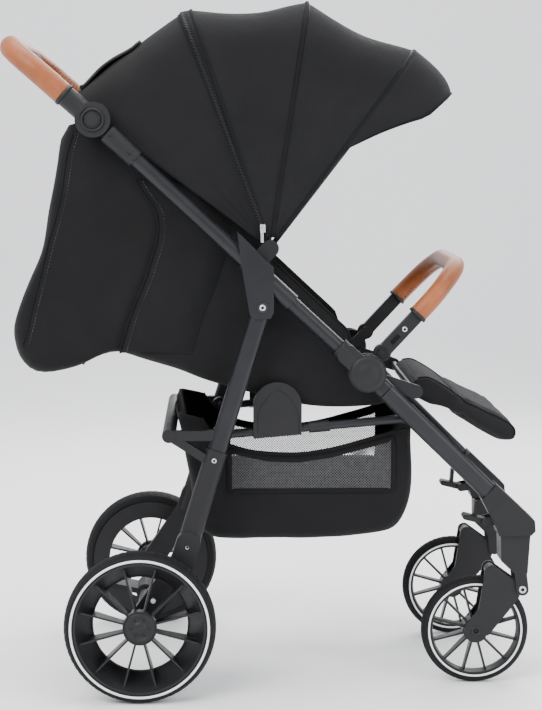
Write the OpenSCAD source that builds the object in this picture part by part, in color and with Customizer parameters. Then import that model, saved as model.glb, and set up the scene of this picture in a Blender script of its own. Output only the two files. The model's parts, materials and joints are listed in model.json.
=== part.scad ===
/* [Side frame] */
// Half the distance between the centre lines of the two side tubes
side_y = 215; // [190:1:240]
// Height of the fold hub above the ground
hub_z = 515; // [480:1:560]
// Forward distance of the fold hub from the middle of the stroller
hub_x = 155.5; // [130:1:180]
// Outer diameter of the upper side tubes
tube_d = 24; // [18:0.5:28]
// Length of an upper side tube from fold hub to handle hub
upper_len = 590; // [500:5:680]
// Slope of the upper side tubes
upper_angle = 42.8; // [38:0.1:48]
// Diameter of the round cover on a fold hub
fold_hub_d = 60; // [50:1:68]
// Width of a front or rear leg seen from the side
leg_w = 30; // [24:1:34]
// Thickness of a front or rear leg across the stroller
leg_t = 18; // [14:1:20]
// Length of a front leg from fold hub to caster housing
front_leg_len = 281; // [250:1:300]
// Slope of the front legs
front_leg_angle = 44.6; // [42:0.1:48]
// Distance along the upper tube from fold hub to rear leg bracket
bracket_at = 194; // [170:1:220]
// Drop of the rear leg pivot below the upper tube centre line
bracket_drop = 36; // [33:1:42]
// Length of a rear leg from its pivot to the axle housing
rear_leg_len = 425; // [390:1:450]
// Slope of the rear legs
rear_leg_angle = 72.6; // [70:0.1:75]
// Diameter of the lower link rods
link_d = 14; // [10:0.5:16]

/* [Handle] */
// Distance from handle hub to the middle of the push bar
handle_len = 176; // [150:1:200]
// Slope of the handle arms
handle_angle = 41.1; // [35:0.5:60]
// Diameter of the handle tube
handle_tube_d = 26; // [20:0.5:28]
// Diameter over the wrapped grip
grip_d = 36; // [32:0.5:42]
// Diameter of a handle hub
handle_hub_d = 56; // [46:1:60]
// Diameter of the round button on a handle hub
button_d = 26; // [18:1:30]

/* [Wheels] */
// Diameter of a rear wheel over its tyre
rear_wheel_d = 240; // [200:1:290]
// Width of a rear wheel
rear_wheel_w = 44; // [34:1:54]
// Diameter of a front wheel over its tyre
front_wheel_d = 175; // [145:1:190]
// Width of a front wheel
front_wheel_w = 28; // [22:1:34]
// Number of spokes in each wheel
spokes = 12; // [8:1:14]

/* [Seat and canopy] */
// Gap between a side tube centre line and the fabric of the seat
seat_side_gap = 39; // [36:1:60]
// Thickness of the fabric walls of the seat and basket
wall = 4; // [3:0.5:5]
// Outer radius of the canopy about its pivot
canopy_r = 400; // [340:1:430]
// Thickness of a canopy panel
canopy_t = 3; // [2:0.5:3.5]
// Radial clearance between two canopy panels that slide past each other
canopy_gap = 1; // [0.8:0.1:1.5]
// Thickness of the footrest
footrest_t = 50; // [40:1:56]
// Thickness of the seat cushion
cushion_t = 26; // [16:1:30]

/* [Bumper bar] */
// Distance from bumper pivot to the middle of the bar
bumper_len = 186; // [160:1:210]
// Slope of the bumper arms
bumper_angle = 47; // [40:1:60]
// Diameter over the wrapped bumper grip
bumper_grip_d = 30; // [24:1:34]

/* [Hidden] */
$fn = 48;

black_plastic = "#2b2b2d";
satin_black = "#3a3d42";
fabric = "#242426";
leather = "#b4693c";
rubber = "#1d1d1e";
silver = "#c8c8ca";

// A point is [forward, up]; reach() walks a distance in a direction from it
function reach(p, dist, angle) = [p[0] + dist * cos(angle), p[1] + dist * sin(angle)];
function mid(p, q, t) = p + (q - p) * t;
function at_y(p, y) = [p[0], y, p[1]];

// Joint points of the side frame, in side view
hub = [hub_x, hub_z];
back_dir = 180 - upper_angle;
handle_pivot = reach(hub, upper_len, back_dir);
bracket_top = reach(hub, bracket_at, back_dir);
leg_pivot = reach(bracket_top, bracket_drop, back_dir + 90);
rear_dir = 180 + rear_leg_angle;
rear_leg_end = reach(leg_pivot, rear_leg_len, rear_dir);
front_dir = -front_leg_angle;
front_leg_end = reach(hub, front_leg_len, front_dir);
rear_axle_at = [rear_leg_end[0] - 67, rear_wheel_d / 2];
caster_x = front_leg_end[0] + 38;
front_axle_at = [caster_x - 57, front_wheel_d / 2];
arm_pivot = [caster_x + 18, front_axle_at[1] + 69];
arm_boss = [caster_x - 32, front_axle_at[1] + 97];
link_rear = reach(leg_pivot, 220, rear_dir);
link_front = reach(hub, 113, front_dir + 1);
canopy_pivot = reach(reach(hub, 247, back_dir), 40, back_dir - 90);
bumper_pivot = reach(hub, 39, 47);
footrest_pivot = reach(hub, 86, -22.5);
backrest_pivot = hub + [-98, -32];

// Places across the stroller, all from the side tubes
tube_r = tube_d / 2;
seat_y = side_y - seat_side_gap;
link_y = side_y - 40;
bumper_y = side_y - 35;
front_leg_low_y = side_y - 32;
caster_y = side_y - 55;
rear_wheel_y = side_y + 28 + rear_wheel_w / 2;
basket_y = link_y - 12;
canopy_inner_y = seat_y + 2;
cheek_gap = 2.5;
cheek_t = 3.5;
cheek_y = leg_t / 2 + cheek_gap;
pin_r = 5;

module both_sides() {
    children();
    mirror([0, 1, 0]) children();
}

// A round rod between two points in space
module rod(p, q, r) {
    v = q - p;
    translate(p) rotate([0, acos(v[2] / norm(v)), atan2(v[1], v[0])]) cylinder(h = norm(v), r = r);
}

// A rod across the stroller at a side-view point
module cross_rod(p, y0, y1, r) {
    translate(at_y(p, y0)) rotate([-90, 0, 0]) cylinder(h = y1 - y0, r = r);
}

// A side-view outline made into a plate between two places across
module plate(y0, y1) {
    translate([0, y1, 0]) rotate([90, 0, 0]) linear_extrude(y1 - y0) children();
}

module disc(p, r) {
    translate(p) circle(r);
}

// A flat bar with round ends, in side view
module bar_2d(p, q, w) {
    v = q - p;
    disc(p, w / 2);
    disc(q, w / 2);
    translate(p) rotate(atan2(v[1], v[0])) translate([0, -w / 2]) square([norm(v), w]);
}

// Section of a leg, with round front and rear edges
module leg_section(w, t) {
    square([w - t, t], center = true);
    for (side = [-1, 1]) translate([side * (w - t) / 2, 0]) circle(t / 2);
}

// A leg between two points in space, its wide side along the stroller
module leg(p, q, w, t) {
    v = q - p;
    translate(p) rotate([0, acos(v[2] / norm(v)), atan2(v[1], v[0])])
        linear_extrude(norm(v)) leg_section(w, t);
}

// A bent U, arms along +X from two places across, ending in a cross piece at x = len
module u_bend(start, len, half_w, bend_r) {
    both_sides() {
        translate([start, half_w, 0]) rotate([0, 90, 0]) linear_extrude(len - bend_r - start) children();
        translate([len - bend_r, half_w - bend_r, 0])
            rotate_extrude(angle = 90) translate([bend_r, 0]) children();
        translate([len, 0, 0]) rotate([-90, 0, 0]) linear_extrude(half_w - bend_r) children();
    }
}

module ring_2d(outer_r, inner_r) {
    difference() {
        circle(outer_r);
        circle(inner_r);
    }
}

// ---- Side tubes, hubs and brackets ----

tube_top = reach(handle_pivot, 31, -upper_angle);
tube_foot = reach(hub, 24, back_dir);
hub_r = fold_hub_d / 2;
hub_pin_r = 8;
run_fit = 0.08;

module side_tube_line(r) {
    rod(at_y(tube_foot, side_y), at_y(tube_top, side_y), r);
}

module upper_tubes() {
    color(satin_black) both_sides() side_tube_line(tube_r);
}

module tube_sleeves() {
    lower = reach(handle_pivot, 91, -upper_angle);
    color(black_plastic) both_sides() difference() {
        rod(at_y(tube_top, side_y), at_y(lower, side_y), tube_r + 3.5);
        side_tube_line(tube_r);
    }
}

// The half of each handle hub that is fixed to the side tube, with the tilt pin
module handle_hubs() {
    color(black_plastic) both_sides() {
        plate(side_y - tube_r, side_y - 0.5) {
            disc(handle_pivot, handle_hub_d / 2);
            translate(handle_pivot) rotate(-upper_angle) translate([0, 2 - tube_r])
                square([31, tube_d - 4]);
        }
        cross_rod(handle_pivot, side_y - 2, side_y + 7.5, hub_pin_r);
    }
}

// Two cheeks and a collar on the end of each side tube, and the fold pin
module fold_hubs() {
    collar_end = reach(hub, 62, back_dir);
    color(black_plastic) both_sides() {
        difference() {
            union() {
                for (y = [side_y - cheek_y - cheek_t, side_y + cheek_y]) plate(y, y + cheek_t) {
                    disc(hub, hub_r);
                    bar_2d(hub, reach(hub, 44, back_dir), tube_d + 8);
                }
                rod(at_y(tube_foot, side_y), at_y(collar_end, side_y), tube_r + 4);
            }
            side_tube_line(tube_r);
        }
        cross_rod(hub, side_y - cheek_y - 1, side_y + cheek_y + 1, hub_pin_r);
    }
}

bracket_outline = [leg_pivot + [-40, 120], leg_pivot + [18, 62], leg_pivot + [18, -8],
    leg_pivot + [12, -18], leg_pivot + [-13, -18], leg_pivot + [-20, -12], leg_pivot + [-32, 58]];

module bracket_cheeks() {
    for (y = [side_y - cheek_y - cheek_t, side_y + cheek_y])
        plate(y, y + cheek_t) polygon(bracket_outline);
}

// Pressed plates that carry the rear leg below each side tube
module leg_brackets() {
    saddle = [reach(bracket_top, -30, back_dir), reach(bracket_top, 34, back_dir)];
    color(satin_black) both_sides() difference() {
        union() {
            bracket_cheeks();
            rod(at_y(saddle[0], side_y), at_y(saddle[1], side_y), tube_r + 3);
        }
        side_tube_line(tube_r);
        cross_rod(leg_pivot, side_y - 30, side_y + 30, pin_r);
    }
}

module leg_rivets() {
    reach_out = cheek_y + cheek_t;
    color(silver) both_sides() {
        cross_rod(leg_pivot, side_y - reach_out, side_y + reach_out, pin_r);
        for (y = [-reach_out - 2.5, reach_out])
            cross_rod(leg_pivot, side_y + y, side_y + y + 2.5, pin_r + 3);
    }
}

// Carries the footrest and the front edge of the seat between the hubs
module seat_crossbar() {
    outer = side_y - cheek_y - cheek_t;
    color(satin_black) {
        cross_rod(footrest_pivot, 3 - outer, outer - 3, 6);
        both_sides() plate(outer - 6, outer) bar_2d(reach(hub, 22, -35), footrest_pivot, 22);
    }
}

module bumper_sockets() {
    outer = side_y - cheek_y - cheek_t;
    inner = bumper_y - 11;
    root = reach(hub, 14, 47);
    color(black_plastic) both_sides() {
        plate(inner - 6, inner) bar_2d(root, bumper_pivot, 18);
        cross_rod(root, inner - 3, outer, 8);
        cross_rod(bumper_pivot, inner - 3, bumper_y + bumper_end_t / 2 + 1, pin_r);
    }
}

module canopy_mounts() {
    foot = reach(canopy_pivot, 40, back_dir + 90);
    inner = side_y - tube_r - 6;
    color(black_plastic) both_sides() {
        difference() {
            union() {
                plate(inner, inner + 6) bar_2d(canopy_pivot, foot, 28);
                rod(at_y(reach(foot, 18, back_dir), side_y), at_y(reach(foot, -18, back_dir), side_y),
                    tube_r + 3);
            }
            side_tube_line(tube_r);
            bracket_cheeks();
        }
        cross_rod(canopy_pivot, canopy_inner_y, inner + 1, 6);
    }
}

// ---- Push handle ----

handle_bend = 62;
grip_start = 58;

module on_handle() {
    translate(at_y(handle_pivot, 0)) rotate([0, handle_angle - 180, 0]) children();
}

module push_handle() {
    color(satin_black) on_handle()
        u_bend(handle_hub_d / 2 + 4, handle_len, side_y, handle_bend) circle(handle_tube_d / 2);
}

module handle_grip() {
    color(leather) on_handle()
        u_bend(grip_start, handle_len, side_y, handle_bend) ring_2d(grip_d / 2, handle_tube_d / 2);
}

// The half of each handle hub that turns with the handle, with a recess for the button
module handle_knuckles() {
    arm_at = handle_hub_d / 2 + 4;
    outer = side_y + 14;
    color(black_plastic) both_sides() difference() {
        union() {
            plate(side_y + 0.5, outer) disc(handle_pivot, handle_hub_d / 2);
            on_handle() translate([arm_at - 12, side_y, 0]) rotate([0, 90, 0])
                cylinder(h = grip_start - arm_at + 12, r = grip_d / 2 - 1);
        }
        on_handle() translate([arm_at, side_y, 0]) rotate([0, 90, 0])
            cylinder(h = grip_start, r = handle_tube_d / 2);
        plate(side_y - 30, side_y + 0.5) disc(handle_pivot, handle_hub_d / 2 + 2);
        plate(side_y + 8, outer + 1) disc(handle_pivot, button_d / 2 + 0.5);
        cross_rod(handle_pivot, side_y, side_y + 9, hub_pin_r + run_fit);
    }
}

module handle_button() {
    color(black_plastic) {
        cross_rod(handle_pivot, side_y + 11.5, side_y + 15.5, button_d / 2);
        cross_rod(handle_pivot, side_y + 15.5, side_y + 17, button_d / 2 - 3);
    }
}

module handle_button_left() {
    handle_button();
}

module handle_button_right() {
    mirror([0, 1, 0]) handle_button();
}

// ---- Canopy: nested shells that turn about one pivot ----

canopy_corner = 70;
canopy_step = canopy_t + canopy_gap;
rib_pitch = 27.9;
rear_rib_at = 109;
rear_edge_at = 144;
rib_span = 1.6;
visor_span = 13;
visor_from = 205;
eye_r = 12;

module canopy_shape(r, half_w, corner) {
    translate([0, -half_w]) square([r - corner, 2 * half_w]);
    translate([0, corner - half_w]) square([r, 2 * (half_w - corner)]);
    for (side = [-1, 1]) translate([r - corner, side * (half_w - corner)]) circle(corner);
}

// Section of the canopy at one layer, layer 0 outermost, cut away within from_r of the pivot
module canopy_section(layer, from_r) {
    r = canopy_r - layer * canopy_step;
    half_w = side_y - tube_r - 8 - layer * canopy_step;
    corner = canopy_corner - layer * canopy_step;
    difference() {
        canopy_shape(r, half_w, corner);
        canopy_shape(r - canopy_t, half_w - canopy_t, corner - canopy_t);
        translate([-1, -half_w - 1]) square([from_r + 1, 2 * half_w + 2]);
    }
}

// A sector of the canopy between two directions seen from the side
module canopy_sector(layer, a0, a1, from_r) {
    translate(at_y(canopy_pivot, 0)) rotate([90, 0, 0]) rotate([0, 0, a0])
        rotate_extrude(angle = a1 - a0) canopy_section(layer, from_r);
}

module canopy_eye(layer) {
    half_w = side_y - tube_r - 8 - layer * canopy_step;
    both_sides() plate(half_w - canopy_t + 0.4, half_w - 0.4) difference() {
        disc(canopy_pivot, eye_r);
        disc(canopy_pivot, 6 + run_fit);
    }
}

module canopy_rib(layer, at) {
    canopy_sector(layer, at - rib_span / 2, at + rib_span / 2, 8);
    canopy_eye(layer);
}

module canopy_panel(layer, from, to) {
    canopy_sector(layer, from, to, eye_r + 3);
}

module canopy_rear() {
    color(fabric) canopy_panel(0, rear_rib_at + rib_span / 2, rear_edge_at);
}

module canopy_rib_rear() {
    color(black_plastic) canopy_rib(0, rear_rib_at);
}

module canopy_mid() {
    color(fabric) canopy_panel(1, rear_rib_at - rib_pitch + rib_span / 2, rear_rib_at);
}

module canopy_rib_mid() {
    color(black_plastic) canopy_rib(1, rear_rib_at - rib_pitch);
}

module canopy_front() {
    color(fabric)
        canopy_panel(2, rear_rib_at - 2 * rib_pitch + rib_span / 2, rear_rib_at - rib_pitch);
}

module canopy_rib_front() {
    color(black_plastic) canopy_rib(2, rear_rib_at - 2 * rib_pitch);
}

// The visor's cloth and the thin arms that carry it back to the pivot
module canopy_visor() {
    top = rear_rib_at - 2 * rib_pitch;
    color(fabric) {
        difference() {
            canopy_sector(3, top - visor_span, top, 8);
            translate(at_y(canopy_pivot, 0)) rotate([90, 0, 0]) rotate([0, 0, top - visor_span - 5])
                rotate_extrude(angle = visor_span + 5 - rib_span)
                    translate([0, -side_y]) square([visor_from, 2 * side_y]);
        }
        canopy_eye(3);
    }
}

// ---- Seat ----

// Side-view outline of the back and bottom of the fabric seat, from top rear to front
seat_back = [handle_pivot + [-44, -4], handle_pivot + [-64, -90], hub + [-514, 212],
    hub + [-540, 142], hub + [-563, 80], hub + [-563, 36], hub + [-551, 13], hub + [-515, -3],
    hub + [-460, 6], hub + [-410, 24], hub + [-367, 19], hub + [-304, 2], hub + [-264, -16],
    hub + [-106, -58], hub + [-10, -62], hub + [34, -60], hub + [54, -42], hub + [56, -26]];
// Upper edge of the side fabric, from the front back to the top rear
seat_edge = [reach(hub, 24, -30), reach(hub, 22, 170),
    reach(reach(hub, 70, back_dir), 30, back_dir - 90),
    reach(reach(hub, upper_len - 42, back_dir), 30, back_dir - 90)];

// The same line moved inward by the wall, at each point square to its neighbours
function inset(path, d) = [for (i = [0:len(path) - 1])
    let (a = path[max(i - 1, 0)], b = path[min(i + 1, len(path) - 1)], v = (b - a) / norm(b - a))
    path[i] + d * [-v[1], v[0]]];

function reversed(path) = [for (i = [len(path) - 1:-1:0]) path[i]];

module seat_shell() {
    inner = inset(seat_back, wall);
    color(fabric) {
        plate(-seat_y, seat_y) polygon(concat(seat_back, reversed(inner)));
        both_sides() plate(seat_y - wall, seat_y) polygon(concat(inner, seat_edge));
    }
}

pad_half_w = seat_y - wall - 6;

module seat_pad() {
    rear = backrest_pivot + [18, -19];
    front = hub + [44, -34];
    color(fabric) plate(-pad_half_w, pad_half_w)
        polygon([rear, front, front + [2, cushion_t - 4], front + [-8, cushion_t],
            rear + [8, cushion_t + 4], rear + [-1, cushion_t]]);
}

// Waist belts and crotch strap with a buckle, lying on the seat cushion
module harness() {
    on_pad = hub + [-40, -8];
    color(black_plastic) {
        translate(at_y(on_pad, 0)) cube([34, 36, 12], center = true);
        translate(at_y(on_pad + [26, -2], 0)) cube([40, 24, 3], center = true);
        both_sides() rod(at_y(on_pad, 16), at_y(on_pad + [-26, -2], 118), 3);
    }
}

// ---- Backrest and footrest ----

backrest_dir = 165.5;
backrest_len = 425;
backrest_t = 22;
barrel_r = 12;

module backrest() {
    end = reach(backrest_pivot, backrest_len, backrest_dir);
    half = backrest_t / 2;
    up = backrest_dir - 90;
    color(fabric) plate(-pad_half_w, pad_half_w) {
        disc(backrest_pivot, barrel_r);
        polygon([reach(backrest_pivot, half, up), reach(end, half, up), reach(end, -half, up),
            reach(backrest_pivot, -half, up)]);
    }
}

footrest_half_w = side_y - 65;

module footrest() {
    p = footrest_pivot;
    t = footrest_t;
    color(fabric) difference() {
        plate(-footrest_half_w, footrest_half_w) polygon([p + [-4, 15], p + [22, 22], p + [60, 0],
            p + [108, -32], p + [141, -48], p + [165, -61], p + [181, -76], p + [180, -90],
            p + [168, -98], p + [74, -24 - t], p + [46, -t], p + [24, -30], p + [-5, -13],
            p + [-12, 0]]);
        cross_rod(p, -side_y, side_y, 6 + run_fit);
    }
}

// ---- Bumper bar ----

bumper_bend = 95;
bumper_tube_r = 9;
bumper_grip_at = 82;
bumper_end_t = 14;
bumper_hub_r = 14;
bumper_button_r = 8;

module on_bumper() {
    translate(at_y(bumper_pivot, 0)) rotate([0, -bumper_angle, 0]) children();
}

module bumper_bar() {
    color(satin_black) on_bumper()
        u_bend(bumper_grip_at, bumper_len, bumper_y, bumper_bend) circle(bumper_tube_r);
}

module bumper_grip() {
    color(leather) on_bumper() u_bend(bumper_grip_at, bumper_len, bumper_y, bumper_bend)
        ring_2d(bumper_grip_d / 2, bumper_tube_r);
}

module bumper_ends() {
    outer = bumper_y + bumper_end_t / 2;
    color(black_plastic) both_sides() difference() {
        plate(outer - bumper_end_t, outer) {
            disc(bumper_pivot, bumper_hub_r);
            translate(bumper_pivot) rotate(bumper_angle) translate([0, -11]) square([bumper_grip_at, 22]);
        }
        cross_rod(bumper_pivot, bumper_y - 12, side_y, pin_r + run_fit);
        plate(outer - 4, outer + 2) disc(bumper_pivot, bumper_button_r + 0.5);
    }
}

// Ring-shaped release button round each bumper pin
module bumper_button() {
    outer = bumper_y + bumper_end_t / 2;
    color(black_plastic) plate(outer - 1.5, outer + 1.5) difference() {
        disc(bumper_pivot, bumper_button_r);
        disc(bumper_pivot, pin_r + 0.3);
    }
}

module bumper_button_left() {
    bumper_button();
}

module bumper_button_right() {
    mirror([0, 1, 0]) bumper_button();
}

// ---- Front legs and swivel wheels ----

leg_knee = reach(hub, 42, front_dir);

// The long lower part of a front leg, which leans inward
module front_leg_low() {
    leg(at_y(leg_knee, side_y), at_y(front_leg_end, front_leg_low_y), leg_w, leg_t);
}

module front_legs() {
    color(satin_black) both_sides() difference() {
        union() {
            plate(side_y - leg_t / 2, side_y + leg_t / 2) disc(hub, leg_w / 2);
            leg(at_y(hub, side_y), at_y(leg_knee, side_y), leg_w, leg_t);
            front_leg_low();
        }
        cross_rod(hub, side_y - leg_t, side_y + leg_t, hub_pin_r + run_fit);
    }
}

// Ties the front legs together and is the front pivot of the lower links
module front_crossbar() {
    end_y = side_y - leg_t / 2 - 6;
    color(satin_black) difference() {
        cross_rod(link_front, -end_y - 8, end_y + 8, 6);
        front_legs();
    }
}

spindle_r = 7;
spindle_z = front_axle_at[1] + 158;
post_half_w = 18;

module caster_housings() {
    c = [caster_x, spindle_z];
    a = reach(front_leg_end, leg_w / 2 + 2, front_dir + 90);
    b = reach(front_leg_end, -leg_w / 2 - 2, front_dir + 90);
    color(black_plastic) both_sides() difference() {
        plate(caster_y - post_half_w, front_leg_low_y + leg_t / 2 + 2)
            polygon([a, c + [36, 25], c + [37, 8], c + [30, 1], c + [-22, 1], c + [-30, 22], b]);
        front_leg_low();
        translate([caster_x, caster_y, spindle_z - 1]) cylinder(h = 32, r = spindle_r + run_fit);
        plate(caster_y - 13, caster_y + 13) disc(lock_pivot, 9);
    }
    color(black_plastic) both_sides() {
        for (y = [-17, 13])
            plate(caster_y + y, caster_y + y + 4) bar_2d(lock_pivot, lock_pivot + [14, 2], 13);
        cross_rod(lock_pivot, caster_y - 14, caster_y + 14, 3);
    }
}

// Turning head over a front wheel, with the swivel spindle on top
module caster() {
    c = [caster_x, spindle_z];
    lobe_y = front_wheel_w / 2 + 7.5;
    color(black_plastic) {
        translate([caster_x, caster_y, spindle_z - 6]) cylinder(h = 34, r = spindle_r);
        plate(caster_y - lobe_y - 4, caster_y + lobe_y + 4)
            polygon([c + [-18, 0], c + [30, 0], c + [26, -62], c + [8, -66], c + [-17, -42]]);
        for (y = [-lobe_y - 4, lobe_y]) plate(caster_y + y, caster_y + y + 4) difference() {
            bar_2d(c + [14, -56], arm_pivot, 20);
            disc(arm_pivot, 4);
        }
        cross_rod(arm_pivot, caster_y - lobe_y - 4, caster_y + lobe_y + 4, 4);
    }
}

module caster_left() {
    caster();
}

module caster_right() {
    mirror([0, 1, 0]) caster();
}

// Sprung fork that carries a front wheel
module wheel_arm() {
    near = front_wheel_w / 2 + 1.8;
    color(black_plastic) {
        for (y = [-near - 5, near]) plate(caster_y + y, caster_y + y + 5) difference() {
            union() {
                disc(arm_boss, 11);
                disc(front_axle_at, 19);
                disc(arm_pivot, 9);
                polygon([arm_boss + [-11, 0], arm_boss + [6, 9], arm_pivot + [-4, 8],
                    arm_pivot + [-3, -9], arm_pivot + [-7, -18], front_axle_at + [20, -8],
                    front_axle_at + [-17, 8], arm_boss + [-20, -60]]);
            }
            disc(arm_pivot, 4 + run_fit);
        }
        cross_rod(arm_boss, caster_y - near - 1, caster_y + near + 1, 9);
        cross_rod(front_axle_at, caster_y - near - 1, caster_y + near + 1, pin_r);
    }
}

module arm_left() {
    wheel_arm();
}

module arm_right() {
    mirror([0, 1, 0]) wheel_arm();
}

// ---- Wheels, drawn about an axle along +Y, outer side at +Y ----

module turned() {
    rotate([-90, 0, 0]) rotate_extrude($fn = 96) children();
}

module ring_of(n) {
    for (i = [0:n - 1]) rotate([0, 360 / n * (i + 0.5), 0]) children();
}

module tyre(d, w, depth) {
    r = d / 2;
    h = w / 2;
    turned() polygon([[r - depth, -h + 1], [r - depth + 4, -h], [r - 5, -h + 2], [r, -h + 9],
        [r, h - 9], [r - 5, h - 2], [r - depth + 4, h], [r - depth, h - 1]]);
}

rear_tyre_depth = 16;
rear_hub_r = 27;
rear_dish_r = 75;
axle_r = 6;

module rear_rim() {
    r = rear_wheel_d / 2 - rear_tyre_depth;
    h = rear_wheel_w / 2;
    dish = rear_dish_r / 104 * r;
    difference() {
        union() {
            turned() polygon([[r, h - 1], [r - 3, h - 1], [dish + 2, 3 - h], [dish, 3 - h],
                [dish, -h + 0.5], [r, -h + 0.5]]);
            turned() square([rear_hub_r, h - 8]);
            turned() translate([0, -h + 2]) square([rear_hub_r - 4, h]);
            ring_of(spokes) linear_extrude(3, center = true)
                polygon([[rear_hub_r - 3, -h + 14], [rear_hub_r - 3, h - 10], [r - 7, h - 9],
                    [dish + 1, 2 - h + 6], [dish + 1, -h + 2], [dish - 6, -h + 3]]);
        }
        translate([0, -h, 0]) rotate([-90, 0, 0]) cylinder(h = 2 * h - 12, r = axle_r + run_fit);
    }
}

front_tyre_depth = 14.5;
front_hub_r = 20;

module front_rim() {
    r = front_wheel_d / 2 - front_tyre_depth;
    h = front_wheel_w / 2;
    difference() {
        union() {
            turned() polygon([[r, -h + 1], [r, h - 1], [r - 3, h - 1], [r - 5, 0], [r - 3, 1 - h]]);
            turned() translate([0, -h]) square([front_hub_r, 2 * h]);
            ring_of(spokes) linear_extrude(3.2, center = true)
                polygon([[front_hub_r - 3, -h + 3], [front_hub_r - 3, h - 3], [r - 3, h - 7],
                    [r - 3, 7 - h]]);
        }
        translate([0, -h - 1, 0]) rotate([-90, 0, 0]) cylinder(h = 2 * h + 2, r = pin_r + run_fit);
    }
}

module rear_wheel_place(side) {
    mirror([0, side > 0 ? 0 : 1, 0]) translate(at_y(rear_axle_at, rear_wheel_y)) children();
}

module front_wheel_place(side) {
    mirror([0, side > 0 ? 0 : 1, 0]) translate(at_y(front_axle_at, caster_y)) children();
}

module front_wheel_left() {
    color(black_plastic) front_wheel_place(1) front_rim();
}

module front_wheel_right() {
    color(black_plastic) front_wheel_place(-1) front_rim();
}

module front_tyre_left() {
    color(rubber) front_wheel_place(1) tyre(front_wheel_d, front_wheel_w, front_tyre_depth);
}

module front_tyre_right() {
    color(rubber) front_wheel_place(-1) tyre(front_wheel_d, front_wheel_w, front_tyre_depth);
}

module rear_wheel_left() {
    color(black_plastic) rear_wheel_place(1) rear_rim();
}

module rear_wheel_right() {
    color(black_plastic) rear_wheel_place(-1) rear_rim();
}

module rear_tyre_left() {
    color(rubber) rear_wheel_place(1) tyre(rear_wheel_d, rear_wheel_w, rear_tyre_depth);
}

module rear_tyre_right() {
    color(rubber) rear_wheel_place(-1) tyre(rear_wheel_d, rear_wheel_w, rear_tyre_depth);
}

// ---- Lower links and basket ----

link_play = 7;
link_eye_t = 12;

module lower_links() {
    color(satin_black) both_sides() difference() {
        union() {
            rod(at_y(link_rear, link_y), at_y(link_front, link_y), link_d / 2);
            plate(link_y - link_eye_t / 2, link_y + link_eye_t / 2) {
                disc(link_front, 12);
                disc(link_rear, pin_r + link_play + 4);
            }
        }
        cross_rod(link_front, 0, side_y, 6 + run_fit);
        cross_rod(link_rear, 0, side_y, pin_r + link_play);
    }
}

module link_sleeves() {
    v = (link_front - link_rear) / norm(link_front - link_rear);
    color(black_plastic) both_sides() difference() {
        rod(at_y(link_rear + v * 142, link_y), at_y(link_rear + v * 175, link_y), link_d / 2 + 2.5);
        rod(at_y(link_rear, link_y), at_y(link_front, link_y), link_d / 2);
    }
}

// Half-oval covers on the outer side of the links
module link_covers() {
    v = (link_front - link_rear) / norm(link_front - link_rear);
    a = link_rear + v * 52;
    b = link_rear + v * 130;
    top = mid(a, b, 0.5) + [0, 40];
    color(black_plastic) both_sides() difference() {
        plate(link_y + 4, link_y + 15) {
            disc(top, 39);
            polygon([a + [0, -9], b + [0, -9], top + [39, 0], top + [-39, 0]]);
        }
        rod(at_y(link_rear, link_y), at_y(link_front, link_y), link_d / 2);
    }
}

basket_path = [link_rear + [-64, 26], link_rear + [-62, -14], link_rear + [-51, -67],
    link_rear + [-45, -120], link_rear + [-33, -160], link_rear + [-3, -173],
    link_front + [-127, -199], link_front + [-47, -190], link_front + [-25, -175],
    link_front + [-9, -144], link_front + [-3, -97], link_front + [-7, -15]];
basket_rim = [link_front + [-38, -22], link_front + [-187, -59], link_rear + [8, -17],
    link_rear + [-24, 26]];

module basket() {
    inner = inset(basket_path, wall);
    color(fabric) {
        plate(-basket_y, basket_y) polygon(concat(basket_path, reversed(inner)));
        both_sides() plate(basket_y - wall, basket_y) polygon(concat(inner, basket_rim));
    }
}

// ---- Rear legs, axle and brake ----

sleeve_from = 240;
sleeve_wall = 2.5;
rear_bar_at = link_rear + [-83, 5];
rear_bar_r = 11;

module rear_leg_line(w, t) {
    leg(at_y(leg_pivot, side_y), at_y(rear_leg_end, side_y), w, t);
}

module rear_legs() {
    color(satin_black) both_sides() difference() {
        union() {
            plate(side_y - leg_t / 2, side_y + leg_t / 2) disc(leg_pivot, leg_w / 2);
            rear_leg_line(leg_w, leg_t);
            cross_rod(link_rear, link_y - 7, side_y - leg_t / 2 + 1, pin_r);
        }
        cross_rod(leg_pivot, side_y - leg_t, side_y + leg_t, pin_r + run_fit);
    }
}

module rear_sleeves() {
    top = reach(leg_pivot, sleeve_from, rear_dir);
    color(black_plastic) both_sides() difference() {
        leg(at_y(top, side_y), at_y(rear_leg_end, side_y), leg_w + 2 * sleeve_wall,
            leg_t + 2 * sleeve_wall);
        rear_leg_line(leg_w, leg_t);
    }
}

// Tube across behind the legs, with an arm and a brace down to each leg
module rear_crossbar() {
    brace_foot = reach(leg_pivot, 262, rear_dir);
    outer_w = leg_w + 2 * sleeve_wall;
    outer_t = leg_t + 2 * sleeve_wall;
    color(black_plastic) {
        cross_rod(rear_bar_at, -side_y - 8, side_y + 8, rear_bar_r);
        both_sides() difference() {
            plate(side_y - 7, side_y + 7) {
                bar_2d(rear_bar_at, [link_rear[0], rear_bar_at[1]], 16);
                bar_2d(rear_bar_at, brace_foot, 14);
            }
            rear_leg_line(leg_w, leg_t);
            leg(at_y(reach(leg_pivot, sleeve_from, rear_dir), side_y), at_y(rear_leg_end, side_y),
                outer_w, outer_t);
            cross_rod(rear_bar_at, side_y - 9, side_y + 9, rear_bar_r - 1);
            plate(side_y - 9, side_y + 9) polygon([leg_pivot + [12, 0], leg_pivot + [80, 0],
                rear_leg_end + [80, 0], rear_leg_end + [12, 0]]);
        }
    }
}

axle_tube_r = 9;

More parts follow.
